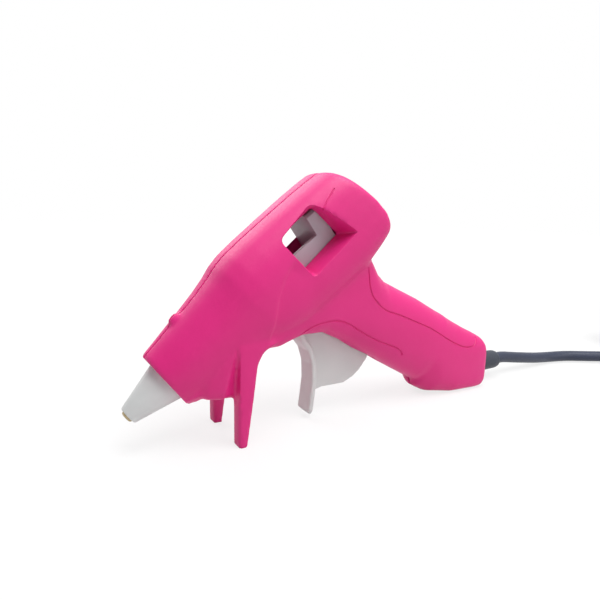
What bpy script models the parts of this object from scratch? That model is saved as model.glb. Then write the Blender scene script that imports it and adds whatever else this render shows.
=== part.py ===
"""Mini hot glue applicator, standing on its two moulded legs and the butt of its handle."""
import bpy
import bmesh
from math import acos, cos, pi, radians, sin, tan
from mathutils import Matrix, Vector

for stale in list(bpy.data.objects):
    bpy.data.objects.remove(stale)

# All lengths are metres. The barrel's own frame starts at the nozzle's tip: x runs back
# along the stick's path, z is up and y is to the right. The ground frame has its origin
# on the floor below the legs, with x from the nozzle towards the cord.

# clearances and overruns
SEAT_GAP = 0.0003
RUNNING_GAP = 0.00035
PARTING_GAP = 0.0003
OVERRUN = 0.004
SHORTEST_EDGE = 0.00001
MILLIMETRE = 0.001

# posture of the barrel in the ground frame
BARREL_TILT = radians(37.7)
TIP_X = -0.0345
TIP_HEIGHT = 0.0124

# housing, barrel end
WALL = 0.0020
NOSE_SETBACK = 0.0165
BARREL_LENGTH = 0.1130
BARREL_HALF_WIDTH = 0.0164
BARREL_TOP = 0.0212
BARREL_BOTTOM = 0.0180
REAR_LEAN = 0.34
RING_POINTS = 36
# place along the barrel behind the rim, half width, top, bottom, lean and squareness
BARREL_SHARES = (
    (0.000, 0.610, 0.530, 0.560, 0.0, 0.00),
    (0.008, 0.640, 0.555, 0.582, 0.0, 0.00),
    (0.058, 0.695, 0.595, 0.635, 0.0, 0.00),
    (0.121, 0.756, 0.648, 0.692, 0.0, 0.10),
    (0.195, 0.815, 0.708, 0.715, 0.0, 0.30),
    (0.268, 0.866, 0.772, 0.715, 0.0, 0.50),
    (0.332, 0.915, 0.846, 0.725, 0.0, 0.70),
    (0.374, 0.955, 0.914, 0.780, 0.0, 0.85),
    (0.426, 0.982, 0.960, 0.890, 0.0, 1.00),
    (0.511, 1.000, 0.982, 0.972, 0.1, 1.10),
    (0.668, 1.000, 1.000, 1.000, 0.4, 1.30),
    (0.826, 1.000, 1.010, 0.970, 0.8, 1.60),
    (0.921, 0.994, 1.006, 0.840, 1.0, 1.80),
    (0.974, 0.985, 0.996, 0.745, 1.0, 1.80),
    (0.992, 0.955, 0.965, 0.715, 1.0, 1.70),
    (1.000, 0.895, 0.905, 0.665, 1.0, 1.60),
)
ROUND_POWER = 2.0
SQUARE_POWER = 2.6
GRIP_CROWN_SHARE = 2.6

# small moulded nub on the nose
NUB_LENGTH = 0.0068
NUB_WIDTH = 0.0050
NUB_HEIGHT = 0.0016
NUB_PLACE_SHARE = 0.1620

# housing, grip from the legs back to the butt, in the ground frame
GRIP_REACH = 0.1260
GRIP_HEIGHT = 0.0580
GRIP_HALF_WIDTH = 0.0112
# upper x, upper z, lower x, lower z, half width, squareness above and below
GRIP_SHARES = (
    (0.030, 0.740, 0.045, 0.545, 1.180, 0.9, 1.1),
    (0.095, 0.900, 0.125, 0.552, 1.200, 0.9, 1.1),
    (0.175, 1.030, 0.200, 0.600, 1.150, 0.9, 1.0),
    (0.265, 1.130, 0.285, 0.598, 1.100, 0.9, 0.9),
    (0.370, 1.160, 0.360, 0.520, 1.060, 0.8, 0.7),
    (0.447, 1.090, 0.420, 0.440, 1.030, 0.5, 0.5),
    (0.479, 0.985, 0.468, 0.390, 1.010, 0.3, 0.4),
    (0.522, 0.905, 0.506, 0.348, 0.990, 0.2, 0.4),
    (0.595, 0.833, 0.548, 0.295, 0.980, 0.2, 0.4),
    (0.677, 0.755, 0.606, 0.226, 0.975, 0.2, 0.4),
    (0.765, 0.655, 0.666, 0.155, 0.980, 0.2, 0.3),
    (0.800, 0.617, 0.691, 0.122, 0.985, 0.3, 0.1),
    (0.812, 0.600, 0.697, 0.069, 0.990, 0.3, 0.0),
    (0.850, 0.556, 0.742, 0.017, 0.995, 0.3, 0.3),
    (0.905, 0.495, 0.835, 0.000, 0.995, 0.4, 1.3),
    (0.952, 0.448, 0.948, 0.000, 0.985, 0.5, 2.1),
    (0.985, 0.412, 0.985, 0.000, 0.955, 0.6, 1.9),
    (1.000, 0.380, 1.000, 0.022, 0.885, 0.7, 1.7),
)

# legs and the yoke that carries them
LEG_INNER = 0.0085
LEG_OUTER = 0.0142
LEG_HEIGHT = 0.0340
LEG_DEPTH = 0.0090
# height, front x and rear x of the leg, in shares of its height and its depth
LEG_SHARES = (
    (0.000, -0.100, 0.230),
    (0.030, -0.130, 0.265),
    (0.500, -0.150, 0.500),
    (0.820, -0.170, 0.640),
    (0.950, -0.180, 0.900),
    (1.030, -0.180, 1.500),
)
LEG_CORNER = 0.0009
# place ahead of the leg, floor, roof and half width, in shares of the leg's depth, height and outer side
YOKE_SHARES = (
    (-1.610, 0.605, 0.880, 0.590),
    (-1.220, 0.500, 1.000, 0.790),
    (-0.670, 0.490, 1.110, 0.920),
    (0.000, 0.490, 1.200, 0.985),
    (0.500, 0.496, 1.240, 0.988),
    (0.640, 0.800, 1.260, 0.970),
    (1.020, 0.955, 1.290, 0.950),
    (1.400, 1.000, 1.260, 0.930),
)
YOKE_CAVITY_SHARES = (
    (-1.050, 0.620, 0.950, 0.640),
    (-0.670, 0.575, 1.060, 0.760),
    (0.000, 0.572, 1.150, 0.820),
    (0.380, 0.580, 1.190, 0.820),
    (0.700, 0.900, 1.200, 0.800),
)
YOKE_POWER = 7.0
RECESS_DEPTH = 0.0042
RECESS_SHARES = ((-0.74, 0.44), (-0.11, 0.44), (-0.11, 0.95), (-0.19, 1.09))

# sight window, in shares along the barrel and of its top
WINDOW_SHARES = ((0.669, -0.019), (0.648, 0.632), (0.803, 0.774), (0.854, 0.057))
WINDOW_TAPER = 0.0011
WINDOW_CORNER = 0.0020
TUNNEL_RIM = 0.0026

# ribs across the barrel
RIB = 0.0016

# openings at the two ends
NOSE_BORE = 0.0077
INLET_BORE = 0.0063

# heater line in the barrel's frame
STICK_RADIUS = 0.0035
STICK_CLEARANCE = 0.0003
TIP_RADIUS = 0.0021
TIP_CHAMFER = 0.0005
ORIFICE = 0.0007
TIP_LENGTH = 0.0077
TIP_STEM = 0.0016
TIP_STEM_LENGTH = 0.0038
BOOT_START = 0.0009
BOOT_TIP_RADIUS = 0.0033
BOOT_BASE_RADIUS = 0.0074
BOOT_FLANGE = 0.0079
BOOT_FLANGE_LENGTH = 0.0022
HEATER_NOSE_RADIUS = 0.0032
HEATER_NECK_RADIUS = 0.0050
HEATER_NECK_START = 0.0160
HEATER_RADIUS = 0.0062
HEATER_SPIGOT_START = 0.0468
HEATER_SPIGOT = 0.0048
HEATER_END = 0.0500
MELT_LENGTH = 0.0040
FUNNEL_END = 0.0170
SADDLE_HALF_WIDTH = 0.0042
SADDLE_TOP = 0.0064
SADDLE_BOTTOM = 0.0045
SADDLE_MARGIN = 0.0008
SEAL_SHOULDER = 0.0520
SEAL_END = 0.0575
SEAL_LIP = 0.0044
SEAL_BORE_CLEARANCE = 0.00015
MOUNT_START = 0.0430
MOUNT_LENGTH = 0.0032
MOUNT_RADIUS = 0.0078
MOUNT_FLANGE = 0.0087
MOUNT_FLANGE_LENGTH = 0.0011
PTC_START = 0.0240
PTC_LENGTH = 0.0138
PTC_HALF_WIDTH = 0.0035
PTC_THICKNESS = 0.0022
CLIP_SETBACK = 0.0050
CLIP_LENGTH = 0.0085
CLIP_THICKNESS = 0.0006
CLIP_HALF_WIDTH = 0.0042
CLIP_ARC_POINTS = 14
CLIP_ARC_RISE = radians(20)

# stick carriage in the barrel's frame
CARRIAGE_START = 0.0642
CARRIAGE_HALF_WIDTH = 0.0083
CARRIAGE_WALL = 0.0016
CARRIAGE_FLOOR = 0.0056
CARRIAGE_SIDE_TOP = 0.0064
BLOCK_START = 0.0872
BLOCK_LENGTH = 0.0062
BLOCK_TOP = 0.0125
LUG_DEPTH = 0.0036
LUG_WIDTH = 0.0018
LUG_LENGTH = 0.0050
DRIVE_PIN_RADIUS = 0.0010
DRIVE_PIN_DROP = 0.0018
LUG_GAP = 0.0017
CARRIAGE_CORNER = 0.0010
GRIP_PLATE = 0.0010
GRIP_PLATE_HALF_WIDTH = 0.0052
GRIP_PLATE_CORNER = 0.0015
SHELF = 0.0017
SHELF_SETBACK = 0.0020
SHELF_LENGTH = 0.0320

# trigger, in the ground frame
PIVOT_X = 0.0280
PIVOT_HEIGHT = 0.0385
PULL_ANGLE = radians(26)
HUB_RADIUS = 0.0030
PIN_RADIUS = 0.0010
PIN_LEFT = 0.0090
PIN_RIGHT = 0.0107
SPRING_ROOM = 0.0036
BLADE_LENGTH = 0.0372
BLADE_HALF_WIDTH = 0.0043
BLADE_THICKNESS = 0.0025
BLADE_CORNER = 0.0011
WEB_HALF_WIDTH = 0.0013
FAN_REACH = 0.0353
FAN_DROP = 0.0284
ARM_WIDTH = 0.0050
ARM_REACH = 0.0113
FORK_DEPTH = 0.0029
# front of the blade, back from the pivot and down from it
BLADE_SHARES = ((-0.060, 0.010), (-0.040, 0.110), (0.005, 0.200), (0.081, 0.296), (0.129, 0.444),
                (0.140, 0.632), (0.121, 0.820), (0.105, 0.954), (0.112, 1.000))
# web from the blade's foot back to its heel and over its hidden upper edge
FAN_SHARES = ((0.175, 0.930), (0.225, 1.010), (0.262, 0.985), (0.330, 0.968), (0.632, 0.965), (0.760, 0.895),
              (0.844, 0.817), (0.949, 0.662), (1.000, 0.493), (0.850, 0.264), (0.480, 0.018),
              (0.060, -0.050), (0.040, 0.150), (0.119, 0.387), (0.180, 0.650))
# slot that the web swings through
SLOT_SHARES = ((-0.100, 0.229), (0.340, 0.405), (0.963, 0.863), (1.105, 0.740), (1.076, 0.370),
               (0.340, -0.123), (-0.100, -0.123))

# torsion spring beside the trigger's hub
SPRING_WIRE = 0.0007
SPRING_RADIUS = 0.0022
SPRING_TURNS = 3
SPRING_TURN_POINTS = 10
SPRING_PITCH = 0.00082
SPRING_LEG = 0.0042
SPRING_HOOK = 0.0012

# stick guide at the rear
GUIDE_SETBACK = 0.0110
GUIDE_LENGTH = 0.0098
GUIDE_START = BARREL_LENGTH - GUIDE_SETBACK
GUIDE_END = GUIDE_START + GUIDE_LENGTH
GUIDE_RADIUS = 0.0060
GUIDE_BORE = 0.0039
GUIDE_FLANGE = 0.0076
GUIDE_FLANGE_LENGTH = 0.0018
GUIDE_MOUTH = 0.0052

# housing screws, one high in the barrel's rear and three in shares of the grip's reach and height
BARREL_SCREW_SHARES = (0.907, 0.594)
GRIP_SCREW_SHARES = ((0.0175, 0.457), (0.526, 0.802), (0.850, 0.420))
BOSS_RADIUS = 0.0030
SCREW_RADIUS = 0.0011
SCREW_HEAD_RADIUS = 0.0021
SCREW_HEAD_LENGTH = 0.0016
SCREW_DIMPLE = 0.0007
SCREW_REACH = 0.0060
# where each head seats, in shares of the grip's half width
SCREW_SEAT_SHARES = (0.92, 0.72, 0.62, 0.60)

# cord and what holds it
CORD_RADIUS = 0.0028
CORD_HEIGHT = 0.0083
RELIEF_LENGTH = 0.0190
RELIEF_RADIUS = 0.0046
RELIEF_END_RADIUS = 0.0044
RELIEF_NECK = 0.0034
RELIEF_FLANGE = 0.0046
RELIEF_FLANGE_LENGTH = 0.0020
RELIEF_ROUND = 0.0015
CLAMP_SETBACK = 0.0170
CLAMP_LENGTH = 0.0060
CLAMP_LOW = 0.0025
CLAMP_HIGH = 0.0170
CLAMP_DEPTH = 0.0042
CLAMP_CORNER = 0.0010
CLAMP_SCREW_HEIGHT = 0.0140
CLAMP_POST = 0.0026
STUB_SETBACK = 0.0290
TIE_WIDTH = 0.0060
TIE_THICKNESS = 0.0006
TIE_CORNER = 0.0022
WIRE_RADIUS = 0.0007
WIRE_SIDE = 0.0050
WIRE_RISE = 0.0106
# after the ribs, in shares along the barrel, of its half width and of its top
WIRE_BARREL_SHARES = ((0.4248, 0.423, 0.4245), (0.4601, 0.546, 0.0943), (0.5074, 0.546, -0.2016),
                      (0.5806, 0.505, -0.4550))
# down the grip, in shares of its reach, half width and height
WIRE_GRIP_SHARES = ((0.3570, 0.54, 0.7759), (0.4760, 0.50, 0.6897), (0.5950, 0.45, 0.5172),
                    (0.7000, 0.35, 0.3100))
# where the free cord droops to the floor and bends towards the hank
CORD_ROUTE = ((0.1620, 0.0, 0.0066), (0.1780, 0.0, 0.0043), (0.1900, 0.0, 0.0031), (0.2015, -0.0032, 0.0031),
              (0.2120, -0.0095, 0.0033), (0.2245, -0.0170, 0.0035), (0.2400, -0.0250, 0.0036))

# hank of the length that the photograph doesn't show, with one loop in each layer
HANK_X = 0.3140
HANK_Y = -0.0064
HANK_LAYERS = 4
# each of a loop's two runs and two folds takes this share of a turn
HANK_RUN_SHARE = 0.25
HANK_RUN = 0.0660
HANK_POINTS = 6
HANK_RADIUS = 0.0168
HANK_STEP = 0.0064
HANK_RISE = 0.0061
HANK_BASE = 0.00375
HANK_WAIST = 0.0070
HOOK_RADIUS = 0.0170
HOOK_POINTS = 13
HOOK_END_POINTS = 4

# plug with two round pins
PLUG_LENGTH = 0.0340
PLUG_HALF_WIDTH = 0.0125
PLUG_HALF_HEIGHT = 0.0066
PLUG_CORNER = 0.0030
PLUG_NECK = 0.0060
PLUG_PIN_RADIUS = 0.0020
PLUG_PIN_LENGTH = 0.0190
PLUG_PIN_SPACING = 0.0186

TURNED_SIDES = 22


# helpers


def material(name, colour, roughness, metallic=0.0):
    surface = bpy.data.materials.new(name)
    surface.use_nodes = True
    shader = surface.node_tree.nodes["Principled BSDF"]
    shader.inputs["Base Color"].default_value = (*colour, 1.0)
    shader.inputs["Roughness"].default_value = roughness
    shader.inputs["Metallic"].default_value = metallic
    return surface


def empty(name, parent=None, place=(0, 0, 0), tilt=0.0):
    frame = bpy.data.objects.new(name, None)
    bpy.context.collection.objects.link(frame)
    frame.parent = parent
    frame.location = place
    frame.rotation_euler = (0, tilt, 0)
    return frame


def solid(name, mesh_maker, surface, parent, smooth=None):
    """Turn a bmesh into an object; smooth is the angle past which an edge stays sharp."""
    bmesh.ops.recalc_face_normals(mesh_maker, faces=mesh_maker.faces)
    mesh = bpy.data.meshes.new(name)
    mesh_maker.to_mesh(mesh)
    mesh_maker.free()
    if surface is not None:
        mesh.materials.append(surface)
    if smooth is not None:
        mesh.shade_smooth()
        mesh.set_sharp_from_angle(angle=smooth)
    body = bpy.data.objects.new(name, mesh)
    bpy.context.collection.objects.link(body)
    body.parent = parent
    return body


def tool(name, mesh_maker, parent):
    """A form that only cuts or joins other forms."""
    body = solid(name, mesh_maker, None, parent)
    body.hide_render = True
    body.display_type = "WIRE"
    return body


def boolean(target, operation, tools):
    for piece in tools:
        step = target.modifiers.new(operation.lower() + "_" + piece.name, "BOOLEAN")
        step.operation = operation
        step.solver = "EXACT"
        step.object = piece
    return target


def skin(rings):
    """Bridge closed rings of equal count and cap the two ends."""
    form = bmesh.new()
    loops = [[form.verts.new(point) for point in ring] for ring in rings]
    count = len(loops[0])
    for near, far in zip(loops, loops[1:]):
        for index in range(count):
            after = (index + 1) % count
            form.faces.new((near[index], near[after], far[after], far[index]))
    form.faces.new(loops[0])
    form.faces.new(loops[-1])
    return form


def turned(profile, sides=TURNED_SIDES, axis="X"):
    """Turn a closed profile of (along, radius) about an axis through the origin."""
    form = bmesh.new()
    rings = []
    for step in range(sides):
        angle = 2 * pi * step / sides
        ring = []
        for along, radius in profile:
            across, rise = radius * cos(angle), radius * sin(angle)
            point = {"X": (along, across, rise), "Y": (rise, along, across), "Z": (across, rise, along)}[axis]
            ring.append(form.verts.new(point))
        rings.append(ring)
    for step in range(sides):
        here, there = rings[step], rings[(step + 1) % sides]
        for index in range(len(profile)):
            after = (index + 1) % len(profile)
            form.faces.new((here[index], here[after], there[after], there[index]))
    return form


def rod(profile, sides=TURNED_SIDES, axis="X"):
    """Turn an open profile of (along, radius) and close its ends flat."""
    rings = []
    for along, radius in profile:
        ring = []
        for step in range(sides):
            angle = 2 * pi * step / sides
            across, rise = radius * cos(angle), radius * sin(angle)
            point = {"X": (along, across, rise), "Y": (rise, along, across), "Z": (across, rise, along)}[axis]
            ring.append(point)
        rings.append(ring)
    return skin(rings)


def moved(form, place):
    bmesh.ops.translate(form, verts=form.verts, vec=place)
    return form


def prism(outline, half_depth, middle=0.0):
    """Extrude an outline of (x, z) along y."""
    return skin([[(x, middle + side * half_depth, z) for x, z in outline] for side in (-1, 1)])


def plank(outline, start, end):
    """Extrude an outline of (y, z) along x."""
    return skin([[(x, y, z) for y, z in outline] for x in (start, end)])


def block(low, high):
    outline = ((low[1], low[2]), (high[1], low[2]), (high[1], high[2]), (low[1], high[2]))
    return plank(outline, low[0], high[0])


def rounded(outline, radius, steps=3):
    """Round the corners of a polygon with short arcs."""
    points = []
    count = len(outline)
    for index, corner in enumerate(outline):
        corner = Vector(corner)
        before = Vector(outline[index - 1]) - corner
        after = Vector(outline[(index + 1) % count]) - corner
        reach = min(radius, before.length / 2.2, after.length / 2.2)
        start = corner + before.normalized() * reach
        end = corner + after.normalized() * reach
        for step in range(steps + 1):
            blend = step / steps
            points.append(start.lerp(corner, blend).lerp(corner.lerp(end, blend), blend)[:])
    return points


def superellipse(half_width, top, bottom, power_top, power_bottom, count=RING_POINTS):
    points = []
    for step in range(count):
        angle = 2 * pi * (step + 0.5) / count
        across, rise = cos(angle), sin(angle)
        power = power_top if rise > 0 else power_bottom
        height = top if rise > 0 else bottom
        y = half_width * abs(across) ** (2 / power) * (1 if across > 0 else -1)
        z = height * abs(rise) ** (2 / power) * (1 if rise > 0 else -1)
        points.append((y, z))
    return points


def smooth_through(points, steps):
    """Points of a smooth curve through hand-chosen ones."""
    places = [Vector(point) for point in points]
    ends = [places[0] * 2 - places[1]] + places + [places[-1] * 2 - places[-2]]
    curve = []
    for index in range(1, len(ends) - 2):
        before, start, end, after = ends[index - 1:index + 3]
        for step in range(steps):
            t = step / steps
            curve.append(((2 * start) + (end - before) * t + (2 * before - 5 * start + 4 * end - after) * t ** 2
                          + (3 * start - before - 3 * end + after) * t ** 3) / 2)
    curve.append(places[-1])
    return curve


def tube(name, points, radius, surface, parent, resolution=2):
    """A round cord or wire: a curve with a bevel and filled caps."""
    path = bpy.data.curves.new(name, "CURVE")
    path.dimensions = "3D"
    path.bevel_depth = radius
    path.bevel_resolution = resolution
    path.use_fill_caps = True
    spline = path.splines.new("POLY")
    spline.points.add(len(points) - 1)
    for slot, point in zip(spline.points, points):
        slot.co = (*point, 1.0)
    path.materials.append(surface)
    body = bpy.data.objects.new(name, path)
    bpy.context.collection.objects.link(body)
    body.parent = parent
    return body


def barrel_to_ground(along, across, rise):
    """A place in the barrel's frame, given in the ground frame."""
    x = TIP_X + along * cos(BARREL_TILT) - rise * sin(BARREL_TILT)
    z = TIP_HEIGHT + along * sin(BARREL_TILT) + rise * cos(BARREL_TILT)
    return (x, across, z)


def ground_to_barrel(x, z):
    forward, up = x - TIP_X, z - TIP_HEIGHT
    along = forward * cos(BARREL_TILT) + up * sin(BARREL_TILT)
    return (along, up * cos(BARREL_TILT) - forward * sin(BARREL_TILT))


# frames

NOZZLE_FRONT = TIP_X + BOOT_START * cos(BARREL_TILT) - BOOT_TIP_RADIUS * sin(BARREL_TILT)
RELIEF_END = GRIP_REACH + RELIEF_LENGTH
CENTRE_X = (NOZZLE_FRONT + RELIEF_END) / 2
ground = empty("ground", place=(-CENTRE_X, 0, 0))
barrel = empty("barrel_axis", ground, (TIP_X, 0, TIP_HEIGHT), -BARREL_TILT)
trigger_hinge = empty("trigger_hinge", ground, (PIVOT_X, 0, PIVOT_HEIGHT))
carriage_line = empty("carriage_line", barrel, (CARRIAGE_START, 0, 0))

PINK = material("pink_housing", (0.78, 0.045, 0.22), 0.55)
WHITE = material("white_trigger", (0.78, 0.78, 0.76), 0.45)
CARRIAGE_WHITE = material("white_carriage", (0.74, 0.74, 0.75), 0.5)
SILICONE = material("grey_silicone", (0.70, 0.71, 0.71), 0.6)
SEAL_SILICONE = material("seal_silicone", (0.72, 0.70, 0.66), 0.65)
BRASS = material("nozzle_brass", (0.50, 0.38, 0.20), 0.35, 1.0)
ALUMINIUM = material("heater_aluminium", (0.77, 0.78, 0.79), 0.35, 1.0)
CERAMIC = material("ptc_ceramic", (0.62, 0.42, 0.18), 0.5)
SPRING_STEEL = material("spring_steel", (0.55, 0.56, 0.58), 0.3, 1.0)
SCREW_STEEL = material("screw_steel", (0.45, 0.45, 0.47), 0.4, 1.0)
PHENOLIC = material("mount_board", (0.62, 0.55, 0.42), 0.7)
CORD_SLATE = material("cord_pvc", (0.035, 0.045, 0.075), 0.5)
RELIEF_SLATE = material("relief_rubber", (0.03, 0.038, 0.06), 0.6)
WIRE_RED = material("wire_silicone", (0.80, 0.78, 0.74), 0.6)
TIE_BLACK = material("tie_nylon", (0.02, 0.02, 0.02), 0.5)
PIN_NICKEL = material("plug_pin_nickel", (0.70, 0.70, 0.68), 0.25, 1.0)


# housing


def barrel_skin(wall=0.0):
    front = NOSE_SETBACK + wall
    span = BARREL_LENGTH - wall - front
    rings = []
    for place, width, top, bottom, lean, square in BARREL_SHARES:
        power = ROUND_POWER + square * (SQUARE_POWER - ROUND_POWER)
        points = superellipse(BARREL_HALF_WIDTH * width - wall, BARREL_TOP * top - wall,
                              BARREL_BOTTOM * bottom - wall, power, power)
        along = front + place * span
        rings.append([(along - REAR_LEAN * lean * max(z, 0), y, z) for y, z in points])
    return capped(rings)


def capped(rings):
    """Bridge rings and close each end with a fan of triangles, for ends that aren't flat."""
    form = bmesh.new()
    loops = [[form.verts.new(point) for point in ring] for ring in rings]
    count = len(loops[0])
    for near, far in zip(loops, loops[1:]):
        for index in range(count):
            after = (index + 1) % count
            form.faces.new((near[index], near[after], far[after], far[index]))
    for loop in (loops[0], loops[-1]):
        middle = form.verts.new(sum((vert.co for vert in loop), Vector()) / count)
        for index in range(count):
            form.faces.new((loop[index], loop[(index + 1) % count], middle))
    return form


def grip_skin(wall=0.0):
    rings = []
    for upper_x, upper_z, lower_x, lower_z, width, square_above, square_below in GRIP_SHARES:
        upper = Vector((GRIP_REACH * upper_x, 0, GRIP_HEIGHT * upper_z))
        lower = Vector((GRIP_REACH * lower_x, 0, GRIP_HEIGHT * lower_z))
        middle = (upper + lower) / 2
        rise = (upper - lower) / 2
        radius = rise.length
        points = superellipse(GRIP_HALF_WIDTH * width - wall, radius - wall, radius - wall,
                              ROUND_POWER + GRIP_CROWN_SHARE * square_above,
                              ROUND_POWER + GRIP_CROWN_SHARE * square_below)
        ring = [middle + rise.normalized() * z + Vector((0, y, 0)) for y, z in points]
        rings.append(ring)
    if wall:
        rings[0] = [point + Vector((wall, 0, 0)) for point in rings[0]]
        rings[-1] = [point - Vector((wall, 0, 0)) for point in rings[-1]]
        rings[-2] = [point - Vector((wall, 0, 0)) / 2 for point in rings[-2]]
    return skin(rings)


def yoke_skin(shares):
    rings = []
    for place, floor, roof, width in shares:
        middle = LEG_HEIGHT * (floor + roof) / 2
        radius = LEG_HEIGHT * (roof - floor) / 2
        points = superellipse(LEG_OUTER * width, radius, radius, YOKE_POWER, YOKE_POWER)
        rings.append([(LEG_DEPTH * place, y, middle + z) for y, z in points])
    return skin(rings)


def leg_skin(side):
    rings = []
    for height, front, rear in LEG_SHARES:
        outline = ((LEG_DEPTH * front, LEG_INNER), (LEG_DEPTH * rear, LEG_INNER),
                   (LEG_DEPTH * rear, LEG_OUTER), (LEG_DEPTH * front, LEG_OUTER))
        rings.append([(x, side * y, LEG_HEIGHT * height) for x, y in rounded(outline, LEG_CORNER)])
    return skin(rings)


def recess_skin(side):
    outline = [(LEG_DEPTH * x, LEG_HEIGHT * z) for x, z in RECESS_SHARES]
    middle = side * (LEG_OUTER - RECESS_DEPTH + OVERRUN)
    return prism(outline, OVERRUN, middle)


def nub_skin():
    form = bmesh.new()
    bmesh.ops.create_uvsphere(form, u_segments=16, v_segments=10, radius=0.5)
    along = NOSE_SETBACK + NUB_PLACE_SHARE * (BARREL_LENGTH - NOSE_SETBACK)
    scale = Matrix.Diagonal((NUB_LENGTH, NUB_WIDTH, 4 * NUB_HEIGHT, 1))
    form.transform(Matrix.Translation((along, 0, nose_top(along) - NUB_HEIGHT)) @ scale)
    return form


def nose_top(along):
    """Height of the barrel's top line over its axis."""
    place = (along - NOSE_SETBACK) / (BARREL_LENGTH - NOSE_SETBACK)
    for before, after in zip(BARREL_SHARES, BARREL_SHARES[1:]):
        if before[0] <= place <= after[0]:
            blend = (place - before[0]) / (after[0] - before[0])
            return BARREL_TOP * (before[2] + blend * (after[2] - before[2]))
    return BARREL_TOP


def window_outline(growth):
    corners = [Vector((BARREL_LENGTH * place, BARREL_TOP * rise)) for place, rise in WINDOW_SHARES]
    middle = sum(corners, Vector((0, 0))) / len(corners)
    grown = []
    for corner in corners:
        reach = corner - middle
        grown.append(middle + reach * (1 + growth / reach.length))
    return rounded(grown, WINDOW_CORNER + max(growth, 0))


def window_cut(side):
    inner = side * (CARRIAGE_HALF_WIDTH - RUNNING_GAP)
    outer = side * (BARREL_HALF_WIDTH + OVERRUN)
    rings = [[(x, inner, z) for x, z in window_outline(-WINDOW_TAPER)],
             [(x, outer, z) for x, z in window_outline(WINDOW_TAPER)]]
    return skin(rings)


def window_wall(side):
    inner = side * (CARRIAGE_HALF_WIDTH + RUNNING_GAP)
    outer = side * (BARREL_HALF_WIDTH + OVERRUN)
    return skin([[(x, y, z) for x, z in window_outline(TUNNEL_RIM)] for y in (inner, outer)])


def shelf_block(side):
    """Shelf that the carriage runs on."""
    top = -CARRIAGE_FLOOR - RUNNING_GAP
    inner = side * (LUG_GAP + LUG_WIDTH + SEAT_GAP)
    outer = side * (BARREL_HALF_WIDTH + OVERRUN)
    low = (CARRIAGE_START + SHELF_SETBACK, min(inner, outer), top - SHELF)
    high = (CARRIAGE_START + SHELF_SETBACK + SHELF_LENGTH, max(inner, outer), top)
    return block(low, high)


def boss_form(x, z, radius, start, end, sides=16):
    """A round boss or hole along y in the ground frame."""
    return moved(rod(((start, radius), (end, radius)), sides, "Y"), (x, 0, z))


def barrel_hole(radius, start, end, across=0.0, rise=0.0, sides=TURNED_SIDES):
    return moved(rod(((start, radius), (end, radius)), sides), (0, across, rise))


def screw_places():
    along, rise = BARREL_SCREW_SHARES
    x, _, z = barrel_to_ground(BARREL_LENGTH * along, 0, BARREL_TOP * rise)
    yoke, middle, butt = [(GRIP_REACH * x, GRIP_HEIGHT * z) for x, z in GRIP_SCREW_SHARES]
    return [yoke, (x, z), middle, butt]


def boot_rear():
    """Where the boot's flange ends and the first rib starts, less the gap between them."""
    return NOSE_SETBACK + WALL + SEAT_GAP + BOOT_FLANGE_LENGTH


def cross_ribs():
    width = BARREL_HALF_WIDTH + OVERRUN
    high = BARREL_TOP + OVERRUN
    flange_end = GUIDE_START + GUIDE_FLANGE_LENGTH
    places = (("boot_rib", boot_rear() + SEAT_GAP, BARREL_BOTTOM + SEAT_GAP),
              ("mount_rib", MOUNT_START + SEAT_GAP, BARREL_BOTTOM + SEAT_GAP),
              ("guide_rib_front", GUIDE_START - SEAT_GAP - RIB, GUIDE_FLANGE + RIB),
              ("guide_rib_rear", flange_end + SEAT_GAP, GUIDE_FLANGE + RIB))
    return [tool(name, block((start, -width, -drop), (start + RIB, width, high)), barrel)
            for name, start, drop in places]


def inner_forms():
    """What stays solid inside the cavity, each fused to the housing's wall."""
    forms = cross_ribs()
    for name, side in (("left", -1), ("right", 1)):
        forms.append(tool("window_wall_" + name, window_wall(side), barrel))
        forms.append(tool("shelf_" + name, shelf_block(side), barrel))
    width = BARREL_HALF_WIDTH + OVERRUN
    for index, (x, z) in enumerate(screw_places()):
        forms.append(tool("boss_%d" % (index + 1), boss_form(x, z, BOSS_RADIUS, -width, width), ground))
    left = BLADE_HALF_WIDTH + RUNNING_GAP
    right = left + SPRING_ROOM
    forms.append(tool("pivot_boss_left", boss_form(PIVOT_X, PIVOT_HEIGHT, HUB_RADIUS, -width, -left), ground))
    forms.append(tool("pivot_boss_right", boss_form(PIVOT_X, PIVOT_HEIGHT, HUB_RADIUS, right, width), ground))
    clamp_x = GRIP_REACH - CLAMP_SETBACK
    forms.append(tool("clamp_post", boss_form(clamp_x, CLAMP_SCREW_HEIGHT, CLAMP_POST, -width, 0), ground))
    saddle_low = (clamp_x - CLAMP_LENGTH / 2, -width, 0)
    saddle_high = (clamp_x + CLAMP_LENGTH / 2, 0, CLAMP_SCREW_HEIGHT - CLAMP_POST / 2)
    forms.append(tool("cord_saddle", block(saddle_low, saddle_high), ground))
    return forms


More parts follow.
